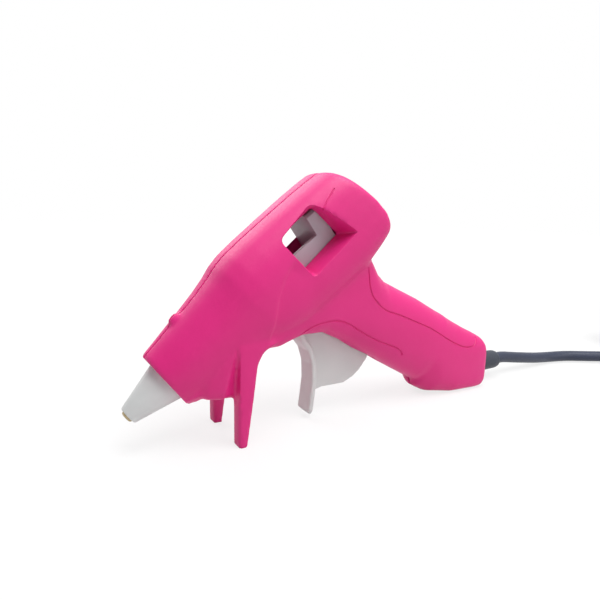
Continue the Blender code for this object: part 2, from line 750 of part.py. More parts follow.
def reopened_forms():
    """Passages through the ribs and bosses."""
    rib_end = MOUNT_START + RIB + OVERRUN
    rib_start = NOSE_SETBACK + WALL + SEAT_GAP
    heater_room = barrel_hole(HEATER_RADIUS + CLIP_THICKNESS + SEAT_GAP, rib_start, rib_end)
    mount_room = barrel_hole(MOUNT_RADIUS + SEAT_GAP, MOUNT_START - OVERRUN / 2, rib_end)
    forms = [tool("heater_room", heater_room, barrel), tool("mount_room", mount_room, barrel)]
    for name, side in (("left", -1), ("right", 1)):
        passage = barrel_hole(2 * WIRE_RADIUS, MOUNT_START - OVERRUN / 2, rib_end,
                              side * WIRE_SIDE, WIRE_RISE, 12)
        forms.append(tool("wire_pass_" + name, passage, barrel))
    room = SPRING_RADIUS + SPRING_WIRE / 2 + SEAT_GAP
    room_end = BLADE_HALF_WIDTH + RUNNING_GAP / 2 + SPRING_ROOM
    spring_room = boss_form(PIVOT_X, PIVOT_HEIGHT, room, BLADE_HALF_WIDTH, room_end)
    forms.append(tool("spring_room", spring_room, ground))
    clamp_x = GRIP_REACH - CLAMP_SETBACK
    forms.append(tool("cord_channel", moved(cord_bore(clamp_x), (0, 0, CORD_HEIGHT)), ground))
    return forms


def cord_bore(middle):
    """Channel that holds the cord under the clamp."""
    bore = CORD_RADIUS + SEAT_GAP
    return rod(((middle - CLAMP_LENGTH, bore), (middle + CLAMP_LENGTH, bore)))


def cavity_form():
    cavity = tool("cavity", barrel_skin(WALL), barrel)
    boolean(cavity, "UNION", [tool("grip_cavity", grip_skin(WALL), ground),
                              tool("yoke_cavity", yoke_skin(YOKE_CAVITY_SHARES), ground)])
    boolean(cavity, "DIFFERENCE", inner_forms())
    boolean(cavity, "UNION", reopened_forms())
    return cavity


def trigger_slots():
    outline = [(PIVOT_X + FAN_REACH * x, PIVOT_HEIGHT - FAN_DROP * z) for x, z in SLOT_SHARES]
    web_slot = prism(outline, WEB_HALF_WIDTH + RUNNING_GAP + SEAT_GAP)
    reach = HUB_RADIUS + 2 * RUNNING_GAP
    half = BLADE_HALF_WIDTH + RUNNING_GAP
    blade_slot = block((PIVOT_X - reach, -half, PIVOT_HEIGHT - 3 * HUB_RADIUS),
                       (PIVOT_X + reach + BLADE_THICKNESS, half, PIVOT_HEIGHT + reach))
    return [tool("web_slot", web_slot, ground), tool("blade_slot", blade_slot, ground)]


def end_openings():
    neck_bore = RELIEF_NECK + SEAT_GAP
    neck = rod(((GRIP_REACH - 2 * WALL, neck_bore), (GRIP_REACH + OVERRUN, neck_bore)))
    neck = moved(neck, (0, 0, CORD_HEIGHT))
    left, right = -PIN_LEFT - SEAT_GAP, PIN_RIGHT + SEAT_GAP
    pin_hole = boss_form(PIVOT_X, PIVOT_HEIGHT, PIN_RADIUS + SEAT_GAP, left, right)
    return [tool("nose_bore", barrel_hole(NOSE_BORE, NOSE_SETBACK - OVERRUN, NOSE_SETBACK + 2 * WALL), barrel),
            tool("inlet_bore", barrel_hole(INLET_BORE, GUIDE_START - OVERRUN, BARREL_LENGTH + OVERRUN), barrel),
            tool("neck_bore", neck, ground), tool("pin_bore", pin_hole, ground)]


def clamp_hole():
    hole = boss_form(GRIP_REACH - CLAMP_SETBACK, CLAMP_SCREW_HEIGHT, SCREW_RADIUS + SEAT_GAP,
                     -SCREW_REACH - SEAT_GAP, OVERRUN, 12)
    return [tool("clamp_hole", hole, ground)]


def screw_holes(side):
    """Pilot holes in the left half, clearance holes and head recesses in the right one."""
    holes = []
    half = BARREL_HALF_WIDTH
    for index, (x, z) in enumerate(screw_places()):
        name = "%s_screw_hole_%d" % ("left" if side < 0 else "right", index + 1)
        if side < 0:
            hole = boss_form(x, z, SCREW_RADIUS + SEAT_GAP, -SCREW_REACH - SEAT_GAP, half)
        else:
            seat = head_seat(index)
            radius = SCREW_RADIUS + SEAT_GAP
            recess = SCREW_HEAD_RADIUS + SEAT_GAP
            profile = ((-half, radius), (seat, radius), (seat, recess), (2 * half, recess))
            hole = moved(rod(profile, 16, "Y"), (x, 0, z))
        holes.append(tool(name, hole, ground))
    return holes


def head_seat(index):
    """How far out of the middle the screw's head seats, below the wall around it."""
    return GRIP_HALF_WIDTH * SCREW_SEAT_SHARES[index]


def half_space(name, side):
    far = BARREL_HALF_WIDTH + OVERRUN
    inner = side * PARTING_GAP / 2
    outer = side * far
    low = (-BARREL_LENGTH, min(inner, outer), -BARREL_LENGTH)
    high = (2 * BARREL_LENGTH, max(inner, outer), 2 * BARREL_LENGTH)
    return tool(name, block(low, high), ground)


def housing_half(name, side, shared):
    half = solid(name, barrel_skin(), PINK, barrel, radians(32))
    joined = [shared["grip"], shared["yoke"], tool(name + "_leg", leg_skin(side), ground), shared["nub"]]
    boolean(half, "UNION", joined)
    boolean(half, "DIFFERENCE", [tool(name + "_recess", recess_skin(side), ground), shared["cavity"]])
    boolean(half, "DIFFERENCE", [tool(name + "_window", window_cut(side), barrel)] + shared["openings"])
    boolean(half, "DIFFERENCE", screw_holes(side))
    boolean(half, "INTERSECT", [half_space(name + "_space", side)])
    merge = half.modifiers.new("merge_short_edges", "WELD")
    merge.merge_threshold = SHORTEST_EDGE


def build_housing():
    shared = {"grip": tool("grip_form", grip_skin(), ground),
              "yoke": tool("yoke_form", yoke_skin(YOKE_SHARES), ground),
              "nub": tool("nub_form", nub_skin(), barrel),
              "cavity": cavity_form(),
              "openings": trigger_slots() + end_openings() + clamp_hole()}
    housing_half("left_housing", -1, shared)
    housing_half("right_housing", 1, shared)


def build_housing_screws():
    for index, (x, z) in enumerate(screw_places()):
        seat = head_seat(index) + SEAT_GAP
        place_screw("housing_screw_%d" % (index + 1), x, z, -SCREW_REACH, seat)


def place_screw(name, x, z, tip, seat):
    """A pan-head screw along y, driven from the right."""
    head = seat + SCREW_HEAD_LENGTH
    profile = ((tip, SCREW_RADIUS / 2), (tip + SCREW_RADIUS, SCREW_RADIUS), (seat, SCREW_RADIUS),
               (seat, SCREW_HEAD_RADIUS), (head - SCREW_DIMPLE / 2, SCREW_HEAD_RADIUS),
               (head, SCREW_HEAD_RADIUS - SCREW_DIMPLE / 2), (head, SCREW_RADIUS),
               (head - SCREW_DIMPLE, SCREW_RADIUS / 2))
    body = solid(name, rod(profile, 16, "Y"), SCREW_STEEL, ground, radians(40))
    body.location = (x, 0, z)


# heater line


def build_nozzle():
    stem_end = TIP_LENGTH + TIP_STEM_LENGTH
    tip = ((0, ORIFICE), (0, TIP_RADIUS - TIP_CHAMFER), (TIP_CHAMFER, TIP_RADIUS), (TIP_LENGTH, TIP_RADIUS),
           (TIP_LENGTH, TIP_STEM), (stem_end, TIP_STEM), (stem_end, ORIFICE))
    solid("nozzle_tip", turned(tip), BRASS, barrel, radians(40))
    flange_start = boot_rear() - BOOT_FLANGE_LENGTH
    neck_bore = HEATER_NECK_RADIUS + SEAT_GAP
    boot = ((BOOT_START, TIP_RADIUS + SEAT_GAP), (BOOT_START, BOOT_TIP_RADIUS),
            (NOSE_SETBACK, BOOT_BASE_RADIUS), (flange_start, BOOT_BASE_RADIUS),
            (flange_start, BOOT_FLANGE), (boot_rear(), BOOT_FLANGE),
            (boot_rear(), neck_bore), (HEATER_NECK_START, neck_bore),
            (TIP_LENGTH, HEATER_NOSE_RADIUS + SEAT_GAP), (TIP_LENGTH, TIP_RADIUS + SEAT_GAP))
    solid("nozzle_boot", turned(boot), SILICONE, barrel, radians(30))


def build_heater():
    start = TIP_LENGTH + SEAT_GAP
    shoulder = boot_rear() + SEAT_GAP
    stem_bore = TIP_STEM + SEAT_GAP
    stick_bore = STICK_RADIUS + STICK_CLEARANCE
    profile = ((start, stem_bore), (start, HEATER_NOSE_RADIUS), (HEATER_NECK_START, HEATER_NECK_RADIUS),
               (shoulder, HEATER_NECK_RADIUS), (shoulder, HEATER_RADIUS), (HEATER_SPIGOT_START, HEATER_RADIUS),
               (HEATER_SPIGOT_START, HEATER_SPIGOT), (HEATER_END, HEATER_SPIGOT), (HEATER_END, stick_bore),
               (FUNNEL_END, stick_bore), (start + MELT_LENGTH, stem_bore))
    body = solid("heater_barrel", turned(profile), ALUMINIUM, barrel, radians(30))
    low = (PTC_START - SADDLE_MARGIN, -SADDLE_HALF_WIDTH, SADDLE_BOTTOM)
    high = (PTC_START + PTC_LENGTH + SADDLE_MARGIN, SADDLE_HALF_WIDTH, SADDLE_TOP)
    boolean(body, "UNION", [tool("heater_saddle", block(low, high), barrel)])
    low = (PTC_START, -PTC_HALF_WIDTH, SADDLE_TOP + SEAT_GAP)
    high = (PTC_START + PTC_LENGTH, PTC_HALF_WIDTH, SADDLE_TOP + SEAT_GAP + PTC_THICKNESS)
    solid("ptc_heater", block(low, high), CERAMIC, barrel)


def clip_outline(growth):
    """Round below the heater barrel and square over the heating element."""
    radius = HEATER_RADIUS + SEAT_GAP + growth
    top = SADDLE_TOP + PTC_THICKNESS + 2 * SEAT_GAP + growth
    sweep = pi + 2 * CLIP_ARC_RISE
    points = [(CLIP_HALF_WIDTH + growth, top), (-CLIP_HALF_WIDTH - growth, top)]
    for step in range(CLIP_ARC_POINTS + 1):
        angle = pi - CLIP_ARC_RISE + sweep * step / CLIP_ARC_POINTS
        points.append((radius * cos(angle), radius * sin(angle)))
    return points


def band(inner, outer, start, end):
    """A closed strap along x between two outlines of (y, z)."""
    loops = ((inner, start), (outer, start), (outer, end), (inner, end))
    rings = [[(x, y, z) for y, z in outline] for outline, x in loops]
    form = bmesh.new()
    verts = [[form.verts.new(point) for point in ring] for ring in rings]
    count = len(inner)
    for here, there in zip(verts, verts[1:] + verts[:1]):
        for index in range(count):
            after = (index + 1) % count
            form.faces.new((here[index], here[after], there[after], there[index]))
    return form


def build_heater_fittings():
    start = PTC_START + CLIP_SETBACK
    strap = band(clip_outline(0), clip_outline(CLIP_THICKNESS), start, start + CLIP_LENGTH)
    solid("heater_clip", strap, SPRING_STEEL, barrel, radians(40))
    bore = HEATER_RADIUS + SEAT_GAP
    mount_end = MOUNT_START + MOUNT_LENGTH
    mount = ((MOUNT_START - MOUNT_FLANGE_LENGTH, bore), (MOUNT_START - MOUNT_FLANGE_LENGTH, MOUNT_FLANGE),
             (MOUNT_START, MOUNT_FLANGE), (MOUNT_START, MOUNT_RADIUS), (mount_end, MOUNT_RADIUS),
             (mount_end, bore))
    solid("heater_mount", turned(mount), PHENOLIC, barrel, radians(40))
    seal_bore = STICK_RADIUS + SEAL_BORE_CLEARANCE
    socket = HEATER_SPIGOT + SEAT_GAP
    seal_start = HEATER_SPIGOT_START + SEAT_GAP
    socket_end = HEATER_END + SEAT_GAP
    seal = ((seal_start, socket), (seal_start, HEATER_RADIUS), (SEAL_SHOULDER, HEATER_RADIUS),
            (SEAL_END, SEAL_LIP), (SEAL_END, seal_bore), (socket_end, seal_bore), (socket_end, socket))
    solid("stick_seal", turned(seal), SEAL_SILICONE, barrel, radians(40))
    flange_end = GUIDE_START + GUIDE_FLANGE_LENGTH
    guide = ((GUIDE_START, GUIDE_BORE), (GUIDE_START, GUIDE_FLANGE), (flange_end, GUIDE_FLANGE),
             (flange_end, GUIDE_RADIUS), (GUIDE_END, GUIDE_RADIUS), (GUIDE_END, GUIDE_MOUTH),
             (flange_end, GUIDE_BORE))
    solid("stick_guide", turned(guide), CARRIAGE_WHITE, barrel, radians(40))


# stick carriage


def drive_pin_place():
    """Along the barrel and up from its axis, with the arm leaning back by half the pull."""
    along, rise = ground_to_barrel(PIVOT_X, PIVOT_HEIGHT)
    pin_rise = -CARRIAGE_FLOOR - DRIVE_PIN_DROP
    return (along + (pin_rise - rise) * tan(PULL_ANGLE / 2), pin_rise)


def trough_outline():
    half, wall = CARRIAGE_HALF_WIDTH, CARRIAGE_WALL
    floor = CARRIAGE_WALL - CARRIAGE_FLOOR
    corner = CARRIAGE_CORNER
    return ((-half, CARRIAGE_SIDE_TOP), (-half, corner - CARRIAGE_FLOOR), (corner - half, -CARRIAGE_FLOOR),
            (half - corner, -CARRIAGE_FLOOR), (half, corner - CARRIAGE_FLOOR), (half, CARRIAGE_SIDE_TOP),
            (half - wall, CARRIAGE_SIDE_TOP), (half - wall, floor + corner), (half - wall - corner, floor),
            (wall + corner - half, floor), (wall - half, floor + corner), (wall - half, CARRIAGE_SIDE_TOP))


def build_carriage():
    """Trough that the stick lies in, with a bored block behind and two lugs below."""
    end = BLOCK_START + BLOCK_LENGTH - CARRIAGE_START
    body = solid("stick_carriage", plank(trough_outline(), 0, end), CARRIAGE_WHITE, carriage_line, radians(40))
    half = CARRIAGE_HALF_WIDTH
    face = ((-half, CARRIAGE_CORNER - CARRIAGE_FLOOR), (CARRIAGE_CORNER - half, -CARRIAGE_FLOOR),
            (half - CARRIAGE_CORNER, -CARRIAGE_FLOOR), (half, CARRIAGE_CORNER - CARRIAGE_FLOOR),
            (half, BLOCK_TOP - CARRIAGE_CORNER), (half - CARRIAGE_CORNER, BLOCK_TOP),
            (CARRIAGE_CORNER - half, BLOCK_TOP), (-half, BLOCK_TOP - CARRIAGE_CORNER))
    joined = [tool("carriage_block", plank(face, end - BLOCK_LENGTH, end), carriage_line)]
    pin_along, pin_rise = drive_pin_place()
    lug_x = pin_along - CARRIAGE_START
    for name, side in (("left", -1), ("right", 1)):
        inner, outer = side * LUG_GAP, side * (LUG_GAP + LUG_WIDTH)
        low = (lug_x - LUG_LENGTH / 2, min(inner, outer), -CARRIAGE_FLOOR - LUG_DEPTH)
        high = (lug_x + LUG_LENGTH / 2, max(inner, outer), CARRIAGE_WALL / 2 - CARRIAGE_FLOOR)
        joined.append(tool("carriage_lug_" + name, block(low, high), carriage_line))
    boolean(body, "UNION", joined)
    stick = rod(((-OVERRUN, STICK_RADIUS + STICK_CLEARANCE), (end + OVERRUN, STICK_RADIUS + STICK_CLEARANCE)))
    hole = rod(((-half, DRIVE_PIN_RADIUS + SEAT_GAP), (half, DRIVE_PIN_RADIUS + SEAT_GAP)), 16, "Y")
    pin_hole = moved(hole, (lug_x, 0, pin_rise))
    boolean(body, "DIFFERENCE", [tool("carriage_bore", stick, carriage_line),
                                 tool("drive_pin_hole", pin_hole, carriage_line)])
    reach = LUG_GAP + LUG_WIDTH
    pin = rod(((-reach, DRIVE_PIN_RADIUS), (reach, DRIVE_PIN_RADIUS)), 16, "Y")
    drive_pin = solid("drive_pin", pin, SPRING_STEEL, carriage_line, radians(40))
    drive_pin.location = (lug_x, 0, pin_rise)


def build_grip_plate():
    """Steel plate behind the carriage's block, whose bore bites the stick."""
    start = BLOCK_START + BLOCK_LENGTH + SEAT_GAP - CARRIAGE_START
    half = GRIP_PLATE_HALF_WIDTH
    corners = ((-half, -half), (half, -half), (half, half), (-half, half))
    plate = plank(rounded(corners, GRIP_PLATE_CORNER), start, start + GRIP_PLATE)
    body = solid("grip_plate", plate, SPRING_STEEL, carriage_line, radians(40))
    radius = STICK_RADIUS + SEAL_BORE_CLEARANCE
    bore = rod(((start - OVERRUN, radius), (start + OVERRUN, radius)))
    boolean(body, "DIFFERENCE", [tool("grip_plate_bore", bore, carriage_line)])


# trigger, with the hinge at its origin


def blade_skin():
    """A curved blade swept down its front line, with rounded edges and a rounded end."""
    front = [Vector((BLADE_LENGTH * x, 0, -BLADE_LENGTH * z)) for x, z in BLADE_SHARES]
    rings = []
    for index, point in enumerate(front):
        before, after = front[max(index - 1, 0)], front[min(index + 1, len(front) - 1)]
        run = (after - before).normalized()
        back = Vector((-run.z, 0, run.x))
        last = index == len(front) - 1
        inset = BLADE_CORNER if last else 0
        half, rear = BLADE_HALF_WIDTH - inset, BLADE_THICKNESS - inset / 2
        outline = rounded(((inset, -half), (rear, -half), (rear, half), (inset, half)), BLADE_CORNER)
        rings.append([point + back * depth + Vector((0, y, 0)) for depth, y in outline])
    return skin(rings)


def arm_form():
    """Forked arm that reaches up to the drive pin, leaning back by half the pull."""
    lean = BARREL_TILT - PULL_ANGLE / 2
    half, slot = ARM_WIDTH / 2, DRIVE_PIN_RADIUS + RUNNING_GAP
    root = ARM_REACH - FORK_DEPTH
    outline = ((-half, 0), (half, 0), (half, ARM_REACH), (slot, ARM_REACH), (slot, root), (-slot, root),
               (-slot, ARM_REACH), (-half, ARM_REACH))
    turned_outline = [(x * cos(lean) - z * sin(lean), x * sin(lean) + z * cos(lean)) for x, z in outline]
    return prism(turned_outline, WEB_HALF_WIDTH)


def build_trigger():
    body = solid("trigger", blade_skin(), WHITE, trigger_hinge, radians(35))
    hub = rod(((-BLADE_HALF_WIDTH, HUB_RADIUS), (BLADE_HALF_WIDTH, HUB_RADIUS)), 24, "Y")
    web = prism([(FAN_REACH * x, -FAN_DROP * z) for x, z in FAN_SHARES], WEB_HALF_WIDTH)
    boolean(body, "UNION", [tool("trigger_hub", hub, trigger_hinge), tool("trigger_web", web, trigger_hinge),
                            tool("trigger_arm", arm_form(), trigger_hinge)])
    reach = BLADE_HALF_WIDTH + OVERRUN
    bore = rod(((-reach, PIN_RADIUS + SEAT_GAP), (reach, PIN_RADIUS + SEAT_GAP)), 20, "Y")
    hook = spring_path()[0]
    hook_hole = rod(((BLADE_HALF_WIDTH - 2 * SPRING_HOOK, SPRING_WIRE / 2 + SEAT_GAP),
                     (BLADE_HALF_WIDTH + SPRING_HOOK, SPRING_WIRE / 2 + SEAT_GAP)), 10, "Y")
    hook_hole = moved(hook_hole, (hook[0], 0, hook[2]))
    boolean(body, "DIFFERENCE", [tool("trigger_bore", bore, trigger_hinge),
                                 tool("spring_hook_hole", hook_hole, trigger_hinge)])
    pin = rod(((-PIN_LEFT, PIN_RADIUS), (PIN_RIGHT, PIN_RADIUS)), 20, "Y")
    trigger_pin = solid("trigger_pin", pin, SPRING_STEEL, ground, radians(40))
    trigger_pin.location = (PIVOT_X, 0, PIVOT_HEIGHT)


def spring_path():
    """Hook into the hub, close coils about the pin, then a straight leg."""
    first = BLADE_HALF_WIDTH + RUNNING_GAP + SPRING_WIRE / 2
    start_angle = pi / 2 - BARREL_TILT
    count = SPRING_TURNS * SPRING_TURN_POINTS
    points = []
    for step in range(count + 1):
        angle = start_angle - 2 * pi * step / SPRING_TURN_POINTS
        across = first + SPRING_PITCH * step / SPRING_TURN_POINTS
        points.append((SPRING_RADIUS * cos(angle), across, SPRING_RADIUS * sin(angle)))
    hook = (points[0][0], BLADE_HALF_WIDTH - SPRING_HOOK, points[0][2])
    last = points[-1]
    leg = (last[0] + SPRING_LEG * sin(start_angle - pi), last[1], last[2] - SPRING_LEG * cos(start_angle - pi))
    return [hook] + points + [leg]


def build_spring():
    tube("trigger_spring", spring_path(), SPRING_WIRE / 2, SPRING_STEEL, trigger_hinge, 1)


# cord, its clamp and the heater's wires


def build_clamp():
    middle = GRIP_REACH - CLAMP_SETBACK
    corners = ((PARTING_GAP, CLAMP_LOW), (CLAMP_DEPTH, CLAMP_LOW),
               (CLAMP_DEPTH, CLAMP_HIGH), (PARTING_GAP, CLAMP_HIGH))
    form = plank(rounded(corners, CLAMP_CORNER), middle - CLAMP_LENGTH / 2, middle + CLAMP_LENGTH / 2)
    body = solid("cord_clamp", form, WHITE, ground, radians(40))
    hole = boss_form(middle, CLAMP_SCREW_HEIGHT, SCREW_RADIUS + SEAT_GAP, -OVERRUN, CLAMP_DEPTH + OVERRUN)
    boolean(body, "DIFFERENCE", [tool("clamp_channel", moved(cord_bore(middle), (0, 0, CORD_HEIGHT)), ground),
                                 tool("clamp_screw_hole", hole, ground)])
    place_screw("clamp_screw", middle, CLAMP_SCREW_HEIGHT, -SCREW_REACH, CLAMP_DEPTH + SEAT_GAP)


def build_relief():
    """Bend sleeve whose neck sits in the housing's rear wall."""
    flange_start = GRIP_REACH - WALL - SEAT_GAP - RELIEF_FLANGE_LENGTH
    flange_end = flange_start + RELIEF_FLANGE_LENGTH
    neck_end = GRIP_REACH + SEAT_GAP
    end = GRIP_REACH + RELIEF_LENGTH
    edge = RELIEF_ROUND
    profile = ((flange_start, RELIEF_FLANGE), (flange_end, RELIEF_FLANGE), (flange_end, RELIEF_NECK),
               (neck_end, RELIEF_NECK), (neck_end, RELIEF_RADIUS), (end - edge, RELIEF_END_RADIUS),
               (end - edge / 3, RELIEF_END_RADIUS - edge / 3), (end, RELIEF_END_RADIUS - edge))
    body = solid("strain_relief", rod(profile, 24), RELIEF_SLATE, ground, radians(40))
    body.location = (0, 0, CORD_HEIGHT)
    start = GRIP_REACH - STUB_SETBACK
    stub = [(start, 0, CORD_HEIGHT), (flange_start - SEAT_GAP, 0, CORD_HEIGHT)]
    tube("inner_cord", stub, CORD_RADIUS, CORD_SLATE, ground)


def wire_route(side):
    """From the heating element through the ribs, past the trigger and down the grip."""
    rise = SADDLE_TOP + SEAT_GAP + PTC_THICKNESS / 2
    start = PTC_START + PTC_LENGTH + SEAT_GAP
    near, wide = side * PTC_HALF_WIDTH * 0.5, side * PTC_HALF_WIDTH * 0.85
    across = side * WIRE_SIDE
    in_barrel = ((start, near, rise), (start + 1.5 * WIRE_RADIUS, near, rise),
                 (start + 4 * WIRE_RADIUS, wide, rise + 2.4 * WIRE_RADIUS),
                 (MOUNT_START, across, WIRE_RISE), (MOUNT_START + 2 * RIB, across, WIRE_RISE))
    points = [barrel_to_ground(*place) for place in in_barrel]
    for along, across, rise in WIRE_BARREL_SHARES:
        beside = side * BARREL_HALF_WIDTH * across
        points.append(barrel_to_ground(BARREL_LENGTH * along, beside, BARREL_TOP * rise))
    for x, y, z in WIRE_GRIP_SHARES:
        points.append((GRIP_REACH * x, side * GRIP_HALF_WIDTH * y, GRIP_HEIGHT * z))
    stub_start = GRIP_REACH - STUB_SETBACK - SEAT_GAP
    for setback in (8 * WIRE_RADIUS, 3 * WIRE_RADIUS, 0):
        points.append((stub_start - setback, side * CORD_RADIUS / 2, CORD_HEIGHT))
    return points


def build_wires():
    for name, side in (("heater_wire_1", -1), ("heater_wire_2", 1)):
        tube(name, smooth_through(wire_route(side), 2), WIRE_RADIUS, WIRE_RED, ground)


def eased(share):
    share = min(max(share, 0), 1)
    return share ** 2 * (3 - 2 * share)


def hank_radius(turn):
    """Half a loop's width: each layer winds in or out by one step, turning back at mid run."""
    past = turn - HANK_RUN_SHARE / 2
    share = abs(past % 2 - 1) if past > 0 else 1 - past
    return HANK_RADIUS + HANK_STEP * share


def hank_level(turn):
    """Layers up from the lowest; each climb goes along the near run."""
    lap, share = divmod(turn, 1)
    if lap == 0:
        return 0
    along = share / HANK_RUN_SHARE
    climb = eased(2 * along - 1) if lap == HANK_LAYERS else eased(along)
    return lap - 1 + climb


def hank_place(turn):
    """Along a run, drawn in at its waist, and round the fold; the loop's second half is turned about."""
    second, share = divmod(2 * turn % 2, 1)
    radius = hank_radius(turn)
    along = min(2 * share, 1) - 0.5
    fold = max(2 * share - 1, 0) * pi
    x = HANK_RUN * along + radius * sin(fold)
    y = HANK_WAIST * (1 + cos(2 * pi * along)) / 2 - radius * cos(fold)
    facing = -1 if second else 1
    return Vector((HANK_X + facing * x, HANK_Y + facing * y, HANK_BASE + HANK_RISE * hank_level(turn)))


def tie_edges():
    """Near and far edge of the hank's waist and the heights of its underside and top, with room."""
    margin = CORD_RADIUS + 3 * SEAT_GAP
    near = HANK_WAIST - HANK_RADIUS - HANK_STEP - margin
    far = HANK_RADIUS + HANK_STEP / 2 - HANK_WAIST + margin
    return near, far, HANK_BASE - CORD_RADIUS - SEAT_GAP, HANK_BASE + (HANK_LAYERS - 1) * HANK_RISE + margin


def hook_path():
    """Off the last loop, round above the fold and in to the middle line, up to the plug's height."""
    start = hank_place(HANK_LAYERS + HANK_RUN_SHARE)
    width = HANK_Y - start.y
    lean = acos(width / (2 * HOOK_RADIUS))
    reach = 2 * HOOK_RADIUS
    turns = [(start.x, HANK_Y - width + HOOK_RADIUS, (pi + lean) * step / HOOK_POINTS)
             for step in range(1, HOOK_POINTS + 1)]
    turns += [(start.x - reach * sin(lean), HANK_Y - width + HOOK_RADIUS + reach * cos(lean),
               lean * (1 - step / HOOK_END_POINTS)) for step in range(1, HOOK_END_POINTS + 1)]
    height = tie_edges()[3] + TIE_THICKNESS + PARTING_GAP + PLUG_HALF_HEIGHT
    points = []
    for index, (x, y, angle) in enumerate(turns):
        lift = (height - start.z) * eased((index + 1) / len(turns))
        points.append(Vector((x + HOOK_RADIUS * sin(angle), y - HOOK_RADIUS * cos(angle), start.z + lift)))
    return points


def hank_path():
    loop_points = 4 * HANK_POINTS
    count = HANK_LAYERS * loop_points + HANK_POINTS
    loops = [hank_place(step / loop_points) for step in range(count + 1)]
    lead = [loops[0] - Vector((CORD_RADIUS * reach, 0, 0)) for reach in (3, 1.5)]
    hook = hook_path()
    tail = [hook[-1] - Vector((CORD_RADIUS * reach, 0, 0)) for reach in (1, 2)]
    return lead + loops + hook + tail


def hank_gap(points):
    """Least distance between stretches of the hank over a quarter of a loop apart, less the cord."""
    least = None
    for index, place in enumerate(points):
        for other in points[index + HANK_POINTS:]:
            distance = (place - other).length
            least = distance if least is None else min(least, distance)
    return least - 2 * CORD_RADIUS


def build_cord():
    hank = hank_path()
    print("least gap in the hank, mm:", round(hank_gap(hank) / MILLIMETRE, 2))
    tube("cord_hank", hank, CORD_RADIUS, CORD_SLATE, ground, 1)
    start = GRIP_REACH + RELIEF_LENGTH + SEAT_GAP
    join = hank[0] - Vector((SEAT_GAP, 0, 0))
    route = ((start, 0, CORD_HEIGHT), (start + 2 * CORD_RADIUS, 0, CORD_HEIGHT), *CORD_ROUTE,
             (join.x - 2 * CORD_RADIUS, join.y, join.z))
    free = smooth_through(route, 2) + [join]
    tube("power_cord", free, CORD_RADIUS, CORD_SLATE, ground)
    length = sum((Vector(b) - Vector(a)).length for path in (free, hank) for a, b in zip(path, path[1:]))
    print("cord outside the housing, m:", round(length + RELIEF_LENGTH, 3))


def build_tie():
    """Nylon band about the waist of the hank, under the plug."""
    near, far, bottom, top = tie_edges()
    inner = rounded(((near, bottom), (far, bottom), (far, top), (near, top)), TIE_CORNER)
    thick = TIE_THICKNESS
    outer = rounded(((near - thick, bottom - thick), (far + thick, bottom - thick), (far + thick, top + thick),
                     (near - thick, top + thick)), TIE_CORNER + thick)
    body = solid("hank_tie", band(inner, outer, -TIE_WIDTH / 2, TIE_WIDTH / 2), TIE_BLACK, ground, radians(40))
    body.location = (HANK_X, HANK_Y, 0)


def build_plug():
    """Two-pin plug lying on the hank, over the tie, at the end of the cord."""
    end = hank_path()[-1]
    height = end.z
    rear = end.x - SEAT_GAP
    sections = ((rear, 0.42, 0.62), (rear - PLUG_NECK, 0.62, 0.86), (rear - 2 * PLUG_NECK, 0.96, 1.0),
                (rear - PLUG_LENGTH + PLUG_CORNER, 1.0, 1.0), (rear - PLUG_LENGTH, 0.94, 0.9))
    rings = []
    for x, width, rise in sections:
        half, tall = PLUG_HALF_WIDTH * width, PLUG_HALF_HEIGHT * rise
        outline = rounded(((-half, -tall), (half, -tall), (half, tall), (-half, tall)), PLUG_CORNER)
        rings.append([(x, end.y + y, height + z) for y, z in outline])
    solid("plug_body", skin(rings), RELIEF_SLATE, ground, radians(30))
    face = rear - PLUG_LENGTH - SEAT_GAP
    for name, side in (("plug_pin_1", -1), ("plug_pin_2", 1)):
        profile = ((face, PLUG_PIN_RADIUS), (face - PLUG_PIN_LENGTH + PLUG_PIN_RADIUS, PLUG_PIN_RADIUS),
                   (face - PLUG_PIN_LENGTH, PLUG_PIN_RADIUS / 2))
        pin = solid(name, rod(profile, 16), PIN_NICKEL, ground, radians(40))
        pin.location = (0, end.y + side * PLUG_PIN_SPACING / 2, height)


build_housing()
build_housing_screws()
build_nozzle()
build_heater()
build_heater_fittings()
build_carriage()
build_grip_plate()
build_trigger()
build_spring()
build_clamp()
build_relief()
build_wires()
build_cord()
build_tie()
build_plug()
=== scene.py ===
import math
import bpy
import bmesh
import numpy
from mathutils import Matrix, Vector, kdtree


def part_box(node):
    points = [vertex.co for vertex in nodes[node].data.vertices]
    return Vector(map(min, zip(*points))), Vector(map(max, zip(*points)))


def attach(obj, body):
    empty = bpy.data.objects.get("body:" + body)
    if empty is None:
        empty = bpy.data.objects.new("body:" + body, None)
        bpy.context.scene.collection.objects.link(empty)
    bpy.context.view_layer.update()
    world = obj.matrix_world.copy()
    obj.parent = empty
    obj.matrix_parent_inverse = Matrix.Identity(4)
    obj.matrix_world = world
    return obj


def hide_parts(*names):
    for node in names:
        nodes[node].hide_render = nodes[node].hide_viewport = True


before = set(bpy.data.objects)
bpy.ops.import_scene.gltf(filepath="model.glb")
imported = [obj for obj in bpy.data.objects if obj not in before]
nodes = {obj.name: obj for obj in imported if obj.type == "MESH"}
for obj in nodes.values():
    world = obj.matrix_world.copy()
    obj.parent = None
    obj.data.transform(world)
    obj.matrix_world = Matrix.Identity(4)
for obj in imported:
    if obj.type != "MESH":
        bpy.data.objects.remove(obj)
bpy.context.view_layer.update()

gun = {
    "middleX": 54.597,           # from the legs back to the middle of the gun
    "tip": (-34.5, 12.4),        # where the stick's path meets the nozzle's tip
    "tilt": 37.7,                # of the barrel, degrees
    "outside": 40.0,             # further out than either side of the gun
}


def fromGround(x, y, z):
    return Vector((x - gun["middleX"], y, z)) / 1000


